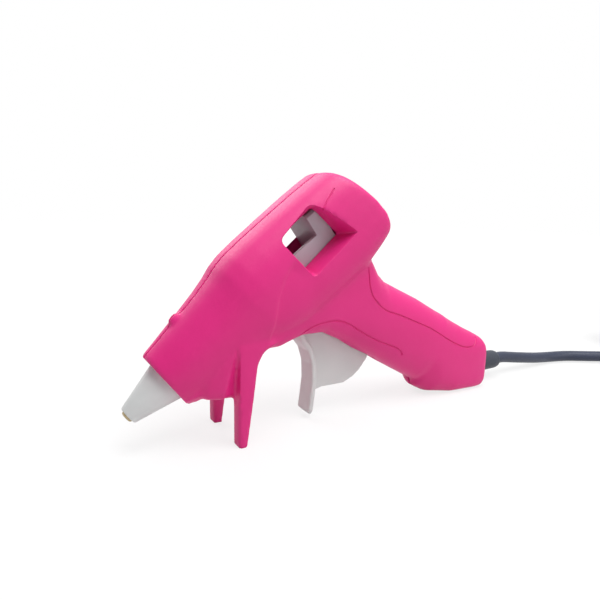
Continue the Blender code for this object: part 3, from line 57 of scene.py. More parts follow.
def barrelPlace():
    tilt = math.radians(gun["tilt"])
    tip = fromGround(gun["tip"][0], 0, gun["tip"][1])
    return Matrix.Translation(tip) @ Matrix.Rotation(-tilt, 4, "Y")


def fromBarrel(along, across, rise):
    return barrelPlace() @ (Vector((along, across, rise)) / 1000)


def smoothLine(points, steps):
    spots = [Vector(p) for p in points]
    ends = [spots[0] * 2 - spots[1]] + spots + [spots[-1] * 2 - spots[-2]]
    line = []
    for i in range(1, len(ends) - 2):
        a, b, c, d = ends[i - 1:i + 3]
        for k in range(steps):
            t = k / steps
            line.append((2 * b + (c - a) * t + (2 * a - 5 * b + 4 * c - d) * t * t
                         + (3 * b - a - 3 * c + d) * t ** 3) / 2)
    line.append(spots[-1])
    return line


# camera

view = {
    "place": (-65.77, -156.72, 79.77), "turn": 31.275, "down": 10.352, "roll": 1.654,    # angles in degrees
    "lens": 30.0, "sensor": 36.0, "clip": 0.01,
}


def makeCamera():
    turn, down, roll = (math.radians(view[key]) for key in ("turn", "down", "roll"))
    ahead = Vector((math.sin(turn) * math.cos(down), math.cos(turn) * math.cos(down), -math.sin(down)))
    right = Vector((math.cos(turn), -math.sin(turn), 0))
    up = right.cross(ahead)
    right, up = right * math.cos(roll) + up * math.sin(roll), up * math.cos(roll) - right * math.sin(roll)
    data = bpy.data.cameras.new("camera")
    data.lens = view["lens"]
    data.sensor_width = view["sensor"]
    data.clip_start = view["clip"]
    camera = bpy.data.objects.new("camera", data)
    bpy.context.scene.collection.objects.link(camera)
    facing = Matrix((right, up, -ahead)).transposed().to_4x4()
    camera.matrix_world = Matrix.Translation(fromGround(*view["place"])) @ facing
    bpy.context.scene.camera = camera


makeCamera()
print("camera placed")


# helpers for modelling

mergeWithin = 0.000002       # metres between corners that should be one
poleRadius = 0.02            # of the last ring, which closes a turned piece


def alone(*objs):
    if bpy.context.object and bpy.context.object.mode != "OBJECT":
        bpy.ops.object.mode_set(mode="OBJECT")
    bpy.ops.object.select_all(action="DESELECT")
    for obj in objs:
        obj.select_set(True)
    bpy.context.view_layer.objects.active = objs[0]
    return objs[0]


def edit(piece):
    alone(piece)
    bpy.ops.object.mode_set(mode="EDIT")
    bpy.ops.mesh.select_mode(type="VERT")
    bpy.ops.mesh.select_all(action="SELECT")


def leaveEdit():
    bpy.ops.object.mode_set(mode="OBJECT")


def named(name):
    piece = bpy.context.object
    piece.name = name
    piece.data.name = name
    return piece


def applied(piece, kind, **settings):
    alone(piece)
    step = piece.modifiers.new(kind.lower(), kind)
    for key, value in settings.items():
        setattr(step, key, value)
    bpy.ops.object.modifier_apply(modifier=step.name)
    return piece


def softShade(piece, angle=40):
    alone(piece)
    bpy.ops.object.shade_smooth_by_angle(angle=math.radians(angle))
    return piece


def nodeCopy(nodeName, name):
    piece = bpy.data.objects.new(name, nodes[nodeName].data.copy())
    piece.data.name = name
    bpy.context.scene.collection.objects.link(piece)
    edit(piece)
    bpy.ops.mesh.remove_doubles(threshold=mergeWithin)
    leaveEdit()
    return piece


def rounded(piece, how, segments):
    return applied(piece, "BEVEL", width=how["bevel"] / 1000, segments=segments, limit_method="ANGLE",
                   angle_limit=math.radians(how["bevelFrom"]))


def cutBy(piece, cutter):
    applied(piece, "BOOLEAN", operation="DIFFERENCE", solver="EXACT", object=cutter)
    bpy.data.objects.remove(cutter)
    return piece


def sharpSpots(piece, angle, spacing):
    # edges that stand out by more than the angle, or cut in where it is negative
    mesh = bmesh.new()
    mesh.from_mesh(piece.data)
    way = 1 if angle > 0 else -1
    spots = []
    for edge in mesh.edges:
        if len(edge.link_faces) == 2 and way * edge.calc_face_angle_signed(0) > math.radians(abs(angle)):
            a, b = (v.co for v in edge.verts)
            count = max(int((b - a).length / spacing), 1)
            spots += [a.lerp(b, k / count) for k in range(count + 1)]
    mesh.free()
    tree = kdtree.KDTree(len(spots))
    for i, spot in enumerate(spots):
        tree.insert(spot, i)
    tree.balance()
    return tree


def remade(piece, how):
    # even small faces, then smoothed everywhere but along the sharp edges, then lightly all over
    voxel = how["voxel"] / 1000
    edges = sharpSpots(piece, how["sharp"], voxel)
    applied(piece, "REMESH", mode="VOXEL", voxel_size=voxel, use_smooth_shade=True)
    group = piece.vertex_groups.new(name="flats")
    near, far = (reach / 1000 for reach in how["keep"])
    for vert in piece.data.vertices:
        distance = edges.find(vert.co)[2]
        if distance > near:
            group.add([vert.index], min((distance - near) / (far - near), 1), "REPLACE")
    applied(piece, "SMOOTH", factor=0.5, iterations=how["turns"], vertex_group="flats")
    piece.vertex_groups.clear()
    applied(piece, "SMOOTH", factor=0.5, iterations=how["last"])
    return piece


def tubeMesh(name, points, radius, sides=10):
    data = bpy.data.curves.new(name, "CURVE")
    data.dimensions = "3D"
    data.bevel_depth = radius / 1000
    data.bevel_resolution = max(sides // 2 - 2, 0)
    data.use_fill_caps = True
    spline = data.splines.new("POLY")
    spline.points.add(len(points) - 1)
    for slot, point in zip(spline.points, points):
        slot.co = (*point, 1)
    piece = bpy.data.objects.new(name, data)
    bpy.context.scene.collection.objects.link(piece)
    return piece


def toMesh(piece):
    alone(piece)
    bpy.ops.object.convert(target="MESH")
    return bpy.context.object


def turnedPiece(name, outline, sides, closed=True):
    # a ring is extruded along z and resized, one step for each place of the outline
    along, radius = outline[0]
    bpy.ops.object.select_all(action="DESELECT")
    bpy.ops.mesh.primitive_circle_add(vertices=sides, radius=radius / 1000, fill_type="NOTHING",
                                      location=(0, 0, along / 1000))
    piece = named(name)
    bpy.ops.object.transform_apply(location=True, rotation=True, scale=True)
    edit(piece)
    rest = outline[1:] + ([outline[0]] if closed else [])
    if not closed:
        bpy.ops.mesh.edge_face_add()
    for nextAlong, nextRadius in rest:
        bpy.ops.mesh.extrude_region_move(TRANSFORM_OT_translate={"value": (0, 0, (nextAlong - along) / 1000)})
        if abs(nextRadius - radius) > 1e-6:
            scale = nextRadius / radius
            bpy.ops.transform.resize(value=(scale, scale, 1), center_override=(0, 0, nextAlong / 1000))
        along, radius = nextAlong, nextRadius
    bpy.ops.mesh.select_all(action="SELECT")
    bpy.ops.mesh.remove_doubles(threshold=mergeWithin)
    bpy.ops.mesh.normals_make_consistent(inside=False)
    leaveEdit()
    return piece


def ringPiece(name, rings):
    # a flat shape is extruded once for each ring, then every ring gets its own corners
    count, spacing = len(rings[0]), 0.01
    bpy.ops.object.select_all(action="DESELECT")
    bpy.ops.mesh.primitive_circle_add(vertices=count, radius=spacing, fill_type="NGON", location=(0, 0, 0))
    piece = named(name)
    edit(piece)
    for _ in rings[1:]:
        bpy.ops.mesh.extrude_region_move(TRANSFORM_OT_translate={"value": (0, 0, spacing)})
    leaveEdit()
    for vert in piece.data.vertices:
        turn = math.atan2(vert.co.y, vert.co.x) / (2 * math.pi) * count
        vert.co = rings[round(vert.co.z / spacing)][round(turn) % count]
    edit(piece)
    bpy.ops.mesh.normals_make_consistent(inside=False)
    leaveEdit()
    return piece


def joinedWith(piece, *others):
    alone(piece, *others)
    bpy.ops.object.join()
    return piece


def roundedCorners(corners, radii, steps):
    spots = []
    for i, corner in enumerate(corners):
        spot = Vector(corner)
        a, b = ((Vector(corners[(i + k) % len(corners)]) - spot).normalized() * radii[i] for k in (-1, 1))
        for k in range(steps + 1):
            t = k / steps
            spots.append(spot + a * (1 - t) ** 2 + b * t ** 2)
    return spots


def laidAlong(piece, place):
    # from upright on z to along x, then to its place
    piece.data.transform(place @ Matrix.Rotation(math.pi / 2, 4, "Y"))
    piece.data.update()
    return piece


# finishes

noise = {"patchDetail": 4, "patchSpread": (0.32, 0.68), "grainDetail": 3, "grainSpread": (0.3, 0.7)}


def addNode(tree, kind, values=None, **settings):
    node = tree.nodes.new("ShaderNode" + kind)
    for key, value in (values or {}).items():
        node.inputs[key].default_value = value
    for key, value in settings.items():
        setattr(node, key, value)
    return node


def finish(name, colour, other, rough=(0.4, 0.55), metal=0.0, patch=60.0, grain=1500.0, depth=0.02, **sockets):
    # colour drifts over patches, and a fine grain gives the surface its bump and its uneven gloss
    material = bpy.data.materials.new(name)
    material.use_nodes = True
    tree = material.node_tree
    shader = tree.nodes["Principled BSDF"]
    shader.inputs["Metallic"].default_value = metal
    for key, value in sockets.items():
        shader.inputs[key.replace("_", " ")].default_value = value
    where = addNode(tree, "TexCoord")
    broad = addNode(tree, "TexNoise", {"Scale": patch, "Detail": noise["patchDetail"]})
    tint = addNode(tree, "ValToRGB")
    for stop, place, shade in zip(tint.color_ramp.elements, noise["patchSpread"], (colour, other)):
        stop.position = place
        stop.color = (*shade, 1)
    fine = addNode(tree, "TexNoise", {"Scale": grain, "Detail": noise["grainDetail"]})
    low, high = noise["grainSpread"]
    gloss = addNode(tree, "MapRange", {"From Min": low, "From Max": high, "To Min": rough[0], "To Max": rough[1]})
    bump = addNode(tree, "Bump", {"Strength": 1.0, "Distance": depth / 1000})
    link = tree.links.new
    link(where.outputs["Object"], broad.inputs["Vector"])
    link(where.outputs["Object"], fine.inputs["Vector"])
    link(broad.outputs["Fac"], tint.inputs["Fac"])
    link(tint.outputs["Color"], shader.inputs["Base Color"])
    link(fine.outputs["Fac"], gloss.inputs["Value"])
    link(gloss.outputs["Result"], shader.inputs["Roughness"])
    link(fine.outputs["Fac"], bump.inputs["Height"])
    link(bump.outputs["Normal"], shader.inputs["Normal"])
    return material


finishes = {
    "pink": finish("pink_plastic", (0.70, 0.008, 0.19), (0.745, 0.012, 0.21), (0.42, 0.56), patch=45, grain=1700,
                   depth=0.03),
    "white": finish("white_plastic", (0.66, 0.665, 0.66), (0.70, 0.70, 0.695), (0.36, 0.48), patch=80, grain=1400,
                    depth=0.008),
    # white plastic of the carriage and the stick guide, made darker grey: a painted shade for the shadow inside the
    # window
    "whiteInPaintedShade": finish("carriage_plastic_painted_shade", (0.42, 0.40, 0.44), (0.48, 0.46, 0.50), (0.36, 0.46), patch=90,
                            grain=1200, depth=0.01),
    "silicone": finish("grey_silicone", (0.68, 0.69, 0.69), (0.74, 0.75, 0.75), (0.48, 0.62), patch=110, grain=1500,
                       depth=0.012),
    "seal": finish("seal_silicone", (0.62, 0.60, 0.56), (0.68, 0.66, 0.62), (0.55, 0.68), patch=100, grain=1500),
    "brass": finish("dull_brass", (0.34, 0.27, 0.17), (0.50, 0.40, 0.24), (0.32, 0.5), 1.0, patch=500, grain=2500,
                    depth=0.006),
    "aluminium": finish("cast_aluminium", (0.68, 0.69, 0.70), (0.78, 0.79, 0.80), (0.34, 0.5), 1.0, patch=300,
                        grain=1800, depth=0.02),
    "ceramic": finish("film_wrap", (0.50, 0.27, 0.06), (0.62, 0.36, 0.10), (0.18, 0.3), patch=260, grain=700,
                      depth=0.015, Coat_Weight=0.4),
    "spring": finish("spring_steel", (0.50, 0.51, 0.53), (0.60, 0.61, 0.63), (0.22, 0.34), 1.0, patch=500, grain=3000,
                     depth=0.004),
    "screw": finish("zinc_screw", (0.42, 0.42, 0.44), (0.54, 0.54, 0.55), (0.28, 0.42), 1.0, patch=600, grain=2600,
                    depth=0.006),
    "board": finish("pressed_board", (0.44, 0.34, 0.20), (0.60, 0.50, 0.34), (0.62, 0.78), patch=420, grain=1500,
                    depth=0.03),
    "cord": finish("cord_sheath", (0.013, 0.020, 0.048), (0.018, 0.026, 0.058), (0.36, 0.48), patch=70, grain=1100,
                   depth=0.012),
    "relief": finish("relief_rubber", (0.017, 0.023, 0.038), (0.023, 0.030, 0.048), (0.42, 0.55), patch=90,
                     grain=1300, depth=0.015),
    "wire": finish("wire_sleeve", (0.70, 0.68, 0.64), (0.78, 0.76, 0.72), (0.5, 0.62), patch=300, grain=1600,
                   depth=0.02),
    "tie": finish("nylon_band", (0.016, 0.016, 0.017), (0.024, 0.024, 0.026), (0.34, 0.46), patch=150, grain=1200,
                  depth=0.01),
    "nickel": finish("nickel_pin", (0.66, 0.65, 0.62), (0.72, 0.71, 0.68), (0.14, 0.24), 1.0, patch=400, grain=2600,
                     depth=0.003),
}
print("finishes mixed:", len(finishes))


def dressed(piece, key, body, slot, *replaced):
    piece.data.materials.clear()
    piece.data.materials.append(finishes[key])
    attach(piece, body)
    if replaced:
        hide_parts(*replaced)
    return piece


def refinish(nodeName, key):
    data = nodes[nodeName].data
    data.materials.clear()
    data.materials.append(finishes[key])


# the free cord: from the sleeve down to the floor, into its hank, and round on top of it to the plug

lead = {
    "start": (145.3, 0, 8.3), "radius": 2.8, "sides": 16,
    "route": ((162.0, 0, 6.6), (178.0, 0, 4.3), (190.0, 0, 3.1), (201.5, -3.2, 3.1), (212.0, -9.5, 3.3),
              (224.5, -17.0, 3.5), (240.0, -25.0, 3.6)),
}
hank = {
    "middle": (314.0, -6.4), "layers": 4, "run": 66.0, "points": 16,
    "inner": 16.8, "step": 6.4,          # half width of the inner loops, and how far out the next ones lie
    "rise": 6.1, "base": 3.75,           # from layer to layer, and the height of the lowest
    "waist": 7.0,                        # how far the runs are drawn in at the tie
    "hook": 17.0, "hookPoints": 34, "hookEnd": 10, "plugHeight": 33.25,
}


def eased(share):
    share = min(max(share, 0), 1)
    return share ** 2 * (3 - 2 * share)


def hankWidth(turn):
    # each layer winds in or out by one step, turning back in the middle of the near run
    past = turn - 0.125
    return hank["inner"] + hank["step"] * (abs(past % 2 - 1) if past > 0 else 1 - past)


def hankSpot(turn):
    # each turn is two runs and two folds, and a layer climbs onto the last one at the start of its first run
    second, share = divmod(2 * turn % 2, 1)
    width = hankWidth(turn)
    along = min(2 * share, 1) - 0.5
    fold = max(2 * share - 1, 0) * math.pi
    x = hank["run"] * along + width * math.sin(fold)
    y = hank["waist"] * (1 + math.cos(2 * math.pi * along)) / 2 - width * math.cos(fold)
    facing = -1 if second else 1
    lap, run = divmod(turn, 1)
    level = 0
    if lap > 0:
        level = lap - 1 + (eased(8 * run - 1) if lap == hank["layers"] else eased(4 * run))
    middle = hank["middle"]
    return Vector((middle[0] + facing * x, middle[1] + facing * y, hank["base"] + hank["rise"] * level))


def hookSpots(start):
    # off the last loop, round above the fold and in to the middle line
    radius, middle = hank["hook"], hank["middle"][1]
    width = middle - start.y
    lean = math.acos(width / (2 * radius))
    first = [(start.x, middle - width + radius, (math.pi + lean) * (k + 1) / hank["hookPoints"])
             for k in range(hank["hookPoints"])]
    second = [(start.x - 2 * radius * math.sin(lean), middle - width + radius + 2 * radius * math.cos(lean),
               lean * (1 - (k + 1) / hank["hookEnd"])) for k in range(hank["hookEnd"])]
    spots = []
    for k, (x, y, angle) in enumerate(first + second):
        lift = (hank["plugHeight"] - start.z) * eased((k + 1) / (len(first) + len(second)))
        spots.append(Vector((x + radius * math.sin(angle), y - radius * math.cos(angle), start.z + lift)))
    return spots


def cordRoute():
    turnPoints = 4 * hank["points"]
    count = hank["layers"] * turnPoints + hank["points"]
    loops = [hankSpot(k / turnPoints) for k in range(count + 1)]
    into = [loops[0] - Vector((lead["radius"] * reach, 0, 0)) for reach in (3, 1.5)]
    hook = hookSpots(loops[-1])
    tail = [hook[-1] - Vector((lead["radius"] * reach, 0, 0)) for reach in (1, 2)]
    start = Vector(lead["start"])
    straight = into[0] - Vector((2 * lead["radius"], 0, 0))
    free = smoothLine([start, start + Vector((2 * lead["radius"], 0, 0)), *lead["route"], straight], 3)
    return [fromGround(*p) for p in free + into + loops + hook + tail]


def makeCord():
    points = cordRoute()
    cord = tubeMesh("power_lead", points, lead["radius"], lead["sides"])
    cord.data.splines[0].use_smooth = True
    dressed(cord, "cord", "housing", "cord_pvc", "power_cord", "cord_hank")
    length = sum((b - a).length for a, b in zip(points, points[1:]))
    return cord, points, length


cord, cordPoints, cordLength = makeCord()
print("cord laid, mm:", round(cordLength * 1000))


# plug: the moulded body with finger ribs, and two round pins

plug = {
    "voxel": 0.45, "turns": 8, "keep": (0.3, 1.2), "sharp": 40, "last": 3,
    "ribs": 3, "ribSpacing": 3.4, "ribSetback": 4.0, "ribRadius": 0.7, "ribLength": 20.0, "ribSides": 16,
    "pinSides": 32,
    "pinEnd": ((1.9, 1), (1.0, 0.9), (0.4, 0.7), (0.05, 0.35)),     # back from the end, and share of the radius
}


def makePlug():
    body = nodeCopy("plug_body", "plug_shell")
    remade(body, plug)
    low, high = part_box("plug_body")
    middle = (low + high) / 2
    for k in range(plug["ribs"]):
        x = middle.x + ((k - (plug["ribs"] - 1) / 2) * plug["ribSpacing"] + plug["ribSetback"]) / 1000
        for side in (-1, 1):
            y = high.y if side > 0 else low.y
            bpy.ops.object.select_all(action="DESELECT")
            bpy.ops.mesh.primitive_cylinder_add(vertices=plug["ribSides"], radius=plug["ribRadius"] / 1000,
                                                depth=plug["ribLength"] / 1000, location=(x, y, middle.z))
            cutBy(body, named("ribCutter"))
    softShade(body)
    dressed(body, "relief", "housing", "relief_rubber", "plug_body")
    pins = []
    for number in (1, 2):
        nodeName = "plug_pin_%d" % number
        pinLow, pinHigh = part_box(nodeName)
        radius = (pinHigh.z - pinLow.z) * 500
        length = (pinHigh.x - pinLow.x) * 1000
        outline = [(0, radius), *((length - back, radius * share) for back, share in plug["pinEnd"]),
                   (length, poleRadius)]
        pin = turnedPiece("plug_prong_%d" % number, outline, plug["pinSides"], closed=False)
        spot = Vector((pinHigh.x, (pinLow.y + pinHigh.y) / 2, (pinLow.z + pinHigh.z) / 2))
        laidAlong(pin, Matrix.Translation(spot) @ Matrix.Rotation(math.pi, 4, "Z"))
        softShade(pin)
        pins.append(dressed(pin, "nickel", "housing", "plug_pin_nickel", nodeName))
    return body, pins


plugBody, plugPins = makePlug()


tieBand = {"bevel": 0.18, "bevelFrom": 50}


def makeTie():
    tie = nodeCopy("hank_tie", "hank_band")
    rounded(tie, tieBand, 2)
    softShade(tie)
    return dressed(tie, "tie", "housing", "tie_nylon", "hank_tie")


hankBand = makeTie()
print("plug and band made")


# housing: each half is the solid's own shape, smoothed, with its creases and grooves

shell = {
    "voxel": 0.56, "turns": 17, "keep": (0.25, 1.3), "sharp": 50, "last": 1, "shade": 38,
    "inner": -12,                                      # angle from which a corner counts as an inner one
    "jointGap": 0.6, "jointReach": 3.0,                # no blending where the halves meet
    "grooveRadius": 0.38, "creaseRadius": 0.3, "grooveSteps": 5, "grooveSides": 8,
    "grooveFacing": 0.12, "grooveFrom": 1.0,           # left out where the surface turns up or nears the joint
    "upperGroove": ((52.6, 59.0), (52.6, 55.5), (53.3, 51.0), (55.5, 47.0), (61.5, 42.1), (69.0, 39.4), (77.5, 36.0),
                    (88.0, 31.7), (99.4, 25.4), (107.5, 21.8), (112.5, 20.8), (116.5, 21.6), (119.0, 24.4)),
    "lowerGroove": ((22.0, 34.6), (26.0, 38.0), (31.5, 39.7), (38.3, 40.0), (44.0, 38.2), (50.1, 34.6), (58.6, 30.1),
                    (68.1, 26.2), (71.3, 24.2), (72.9, 22.2)),
    "swoosh": ((17.9, 64.6), (16.4, 62.2), (14.4, 59.0), (12.9, 56.0), (11.7, 52.0), (10.9, 47.5), (10.5, 43.0),
               (9.9, 38.5), (9.0, 34.0)),
    "swooshDepth": 0.75, "swooshReach": 9.0, "swooshStep": 1.3,      # how deep, how far back, and over what width
    "swooshEnds": (0.18, 0.12),                                      # shares of the line over which it fades
    "swooshFacing": 0.15, "swooshFrom": 8.0,                         # only on the outside
    "windowCrease": ((91.3, 14.4), (93.6, 15.4), (95.6, 16.0), (99.8, 17.1)),
    # places that are smoothed more than the rest: middle, reach, turns, and reach from inner corners
    "softer": (((54.0, 60.0), 10.0, 60, 5.5), ((6.5, 36.5), 9.0, 48, 20.0)),
    # between nose and leg: the height of each level, then its corners
    "wedge": ((18.0, (-6.5, -9.4), (-6.3, -12.7), (-0.5, -10.4), (-0.5, -8.4)),
              (24.0, (-5.2, -9.4), (-4.95, -13.15), (-0.5, -11.0), (-0.5, -8.4)),
              (32.0, (-3.4, -9.4), (-3.15, -13.65), (-0.5, -12.2), (-0.5, -8.4)),
              (37.4, (-2.2, -9.4), (-2.0, -13.95), (-0.5, -13.2), (-0.5, -8.4))),
    # underside behind the nose's rim, in the barrel's frame: how far it grows along the barrel, and its corners
    "belly": ((16.9, 1.02), (20.0, 1.17), (23.5, 1.27)),
    "bellyShape": ((0.15, -8.9), (0.15, -10.2), (5.4, -8.9), (8.5, -6.0), (7.3, -5.1), (4.6, -7.6)),
    "bellyInside": (0, 4, 5),            # corners inside the wall
}
# the window's outlines in the barrel's frame: at the surface, at the near and the far side of the carriage, and
# the outline of the thick wall about it
window = {
    "outer": ((74.7, -1.0), (72.4, 15.6), (89.5, 17.9), (97.2, 0.6)), "outerCorners": (1.9, 2.6, 2.3, 1.0),
    "inner": ((75.6, 0.4), (73.4, 14.4), (90.6, 15.4), (93.8, 1.9)), "innerCorners": (1.0, 1.6, 1.2, 0.8),
    "far": ((75.6, 3.7), (73.4, 14.4), (90.6, 15.4), (93.8, 4.9)), "farCorners": (1.0, 1.6, 1.2, 0.8),
    "block": ((72.6, -3.0), (70.2, 17.4), (90.6, 19.3), (100.0, -0.6)), "blockCorners": (2.0, 2.0, 2.0, 2.0),
    "steps": 6,
    "from": 8.65, "rim": 0.65,           # where the wall begins, from the middle, and the width of its crisp rim
    "skin": 0.3, "beyond": 25.0,         # how far the wall stays under the surface, and how far out the cut reaches
}


def nearLine(points, line):
    # distance, side and place along the line for each point of the x-z plane
    best = numpy.full(len(points), 1e9)
    side = numpy.zeros(len(points))
    share = numpy.zeros(len(points))
    count = len(line) - 1
    for i in range(count):
        a, b = numpy.array(line[i][:2]), numpy.array(line[i + 1][:2])
        run = b - a
        t = numpy.clip(((points - a) @ run) / (run @ run), 0, 1)
        gap = points - (a + t[:, None] * run)
        distance = numpy.hypot(gap[:, 0], gap[:, 1])
        nearer = distance < best
        best[nearer] = distance[nearer]
        turn = run[0] * gap[:, 1] - run[1] * gap[:, 0]
        side[nearer] = numpy.sign(turn)[nearer]
        share[nearer] = ((i + t) / count)[nearer]
    return best, side, share


def meshPlaces(piece):
    count = len(piece.data.vertices)
    places = numpy.empty(count * 3)
    normals = numpy.empty(count * 3)
    piece.data.vertices.foreach_get("co", places)
    piece.data.vertices.foreach_get("normal", normals)
    return places.reshape(-1, 3), normals.reshape(-1, 3)


def swoosh(piece, sideSign):
    # behind the line the surface drops a little below the nose side's
    places, normals = meshPlaces(piece)
    line = [(p.x, p.y) for p in smoothLine([(x, z, 0) for x, z in shell["swoosh"]], 4)]
    flat = places[:, [0, 2]] * 1000 + numpy.array([gun["middleX"], 0])
    distance, side, share = nearLine(flat, line)
    top, bottom = shell["swooshEnds"]
    ends = numpy.clip(share / top, 0, 1) * numpy.clip((1 - share) / bottom, 0, 1)
    facing = normals[:, 1] * sideSign > shell["swooshFacing"]
    outer = facing & (places[:, 1] * sideSign > shell["swooshFrom"] / 1000)
    fade = numpy.exp(-(distance / shell["swooshReach"]) ** 2)
    rise = numpy.clip(distance / shell["swooshStep"], 0, 1)
    amount = shell["swooshDepth"] * rise * fade * ends * (side > 0) * outer
    places -= normals * (amount / 1000)[:, None]
    piece.data.vertices.foreach_set("co", places.ravel())
    piece.data.update()


def skinAt(piece, spot, sideSign):
    # how far out the housing's outer surface lies at a place of the x-z plane
    start = Vector((spot.x, gun["outside"] / 1000 * sideSign, spot.z))
    hit, found, _, _ = piece.ray_cast(start, Vector((0, -sideSign, 0)))
    return found.y * 1000 * sideSign if hit else None


def windowRing(piece, part, sideSign, growth, out=None, past=0.0):
    # one outline of the window, at a set distance from the middle or at the surface
    corners = [Vector(corner) for corner in window[part]]
    middle = sum(corners, Vector((0, 0))) / len(corners)
    grown = [corner + (corner - middle).normalized() * growth for corner in corners]
    ring = []
    for s, t in roundedCorners(grown, window[part + "Corners"], window["steps"]):
        away = out if out is not None else skinAt(piece, fromBarrel(s, 0, t), sideSign) + past
        ring.append(fromBarrel(s, away * sideSign, t))
    return ring


def windowBlock(half, sideSign):
    # thick wall about the window, from the carriage's side to just under the surface
    rings = [windowRing(half, "block", sideSign, 0, window["from"]),
             windowRing(half, "block", sideSign, 0, past=-window["skin"])]
    return ringPiece("windowBlock", rings)


def windowCutter(half, sideSign):
    rim = window["rim"]
    rings = [windowRing(half, "inner" if sideSign < 0 else "far", sideSign, 0, window["from"] - rim),
             windowRing(half, "outer", sideSign, 0, past=-rim),
             windowRing(half, "outer", sideSign, rim, past=rim / 4),
             windowRing(half, "outer", sideSign, rim, window["beyond"])]
    return ringPiece("windowCutter", rings)


def wedgeFill(sideSign):
    rings = [[fromGround(x, -y * sideSign, z) for x, y in corners] for z, *corners in shell["wedge"]]
    return ringPiece("wedgeFill", rings)


def bellyFill(sideSign):
    # corners inside the wall stay, and the one at the joint only moves down
    rings = []
    for along, share in shell["belly"]:
        ring = []
        for i, (across, rise) in enumerate(shell["bellyShape"]):
            if i not in shell["bellyInside"]:
                across, rise = across * (share if i > 1 else 1), rise * share
            ring.append(fromBarrel(along, across * sideSign, rise))
        rings.append(ring)
    return ringPiece("bellyFill", rings)


def softerPlace(half, creases, middle, reach, turns, width):
    # the neck's inner corner and the yoke above the leg are blended more, but not where the halves meet
    group = half.vertex_groups.new(name="softer")
    for vert in half.data.vertices:
        flat = math.hypot(vert.co.x * 1000 + gun["middleX"] - middle[0], vert.co.z * 1000 - middle[1])
        if flat < reach:
            distance = creases.find(vert.co)[2] * 1000
            fromJoint = (abs(vert.co.y) * 1000 - shell["jointGap"]) / shell["jointReach"]
            weight = min(1 - distance / width, 2 * (1 - flat / reach), fromJoint)
            if weight > 0:
                group.add([vert.index], min(weight, 1), "REPLACE")
    applied(half, "SMOOTH", factor=0.5, iterations=turns, vertex_group="softer")
    half.vertex_groups.clear()


def grooveCutter(piece, line, radius, sideSign, name):
    spots = []
    for x, z, _ in smoothLine([(x, z, 0) for x, z in line], shell["grooveSteps"]):
        start = fromGround(x, gun["outside"] * sideSign, z)
        hit, spot, normal, _ = piece.ray_cast(start, Vector((0, -sideSign, 0)))
        if hit and abs(normal.y) > shell["grooveFacing"] and spot.y * sideSign > shell["grooveFrom"] / 1000:
            spots.append(spot)
    return toMesh(tubeMesh(name, spots, radius, shell["grooveSides"]))


def makeHalf(nodeName, name, sideSign):
    half = nodeCopy(nodeName, name)
    creases = sharpSpots(half, shell["inner"], shell["voxel"] / 1000)
    joinedWith(half, windowBlock(half, sideSign), wedgeFill(sideSign), bellyFill(sideSign))
    remade(half, shell)
    for place in shell["softer"]:
        softerPlace(half, creases, *place)
    swoosh(half, sideSign)
    cutBy(half, windowCutter(half, sideSign))
    tilt = math.radians(gun["tilt"])
    crease = [(gun["tip"][0] + s * math.cos(tilt) - t * math.sin(tilt),
               gun["tip"][1] + s * math.sin(tilt) + t * math.cos(tilt)) for s, t in shell["windowCrease"]]
    wide, narrow = shell["grooveRadius"], shell["creaseRadius"]
    for line, radius in ((shell["upperGroove"], wide), (shell["lowerGroove"], wide), (crease, narrow)):
        cutBy(half, grooveCutter(half, line, radius, sideSign, name + "Groove"))
    softShade(half, shell["shade"])
    print(name, "faces:", len(half.data.polygons))
    return dressed(half, "pink", "housing", "pink_housing", nodeName)


makeHalf("left_housing", "left_shell", -1)
makeHalf("right_housing", "right_shell", 1)
print("housing made")


# nozzle: the silicone boot and the metal tip it leaves bare

nozzle = {
    "boot": ((0.9, 2.45), (0.9, 2.9), (1.05, 3.14), (1.4, 3.32), (16.5, 7.40), (18.8, 7.40), (18.8, 7.9), (20.98, 7.9),
             (20.98, 5.35), (16.0, 5.35), (7.75, 3.55), (7.75, 2.45)),
    "tip": ((0.0, 0.7), (0.0, 1.5), (0.12, 1.8), (0.4, 2.04), (0.7, 2.1), (7.7, 2.1), (7.7, 1.6), (11.5, 1.6),
            (11.5, 0.7)),
    "bootSides": 64, "tipSides": 48, "bevel": 0.2, "bevelFrom": 50,
}


def makeNozzle():
    boot = turnedPiece("nozzle_sleeve", list(nozzle["boot"]), nozzle["bootSides"])
    rounded(boot, nozzle, 2)
    laidAlong(boot, barrelPlace())
    softShade(boot)
    dressed(boot, "silicone", "housing", "grey_silicone", "nozzle_boot")
    tip = turnedPiece("nozzle_end", list(nozzle["tip"]), nozzle["tipSides"])
    laidAlong(tip, barrelPlace())
    softShade(tip)
    dressed(tip, "brass", "housing", "nozzle_brass", "nozzle_tip")


makeNozzle()
print("nozzle made")


# trigger with its return spring, and the stick carriage

blade = {"voxel": 0.26, "turns": 9, "keep": (0.0, 0.4), "sharp": 45, "last": 4}
coil = {
    "pivot": (28.0, 38.5), "turns": 3, "turnPoints": 28, "radius": 2.02, "pitch": 0.8, "first": 5.0,
    "hook": 3.1, "leg": 4.2,                           # hook's end in the hub, and the straight leg
    "wire": 0.35, "wireSides": 12, "shade": 60,
}
trough = {
    "blockFrom": 11.0, "blockRise": 2.0,               # the block behind the window
    "wallFrom": (4.0, 5.0), "wallTo": 88.0, "wallTop": -1.0,      # far wall, low so that the light comes through
    "bevel": 0.35, "bevelFrom": 40,
}


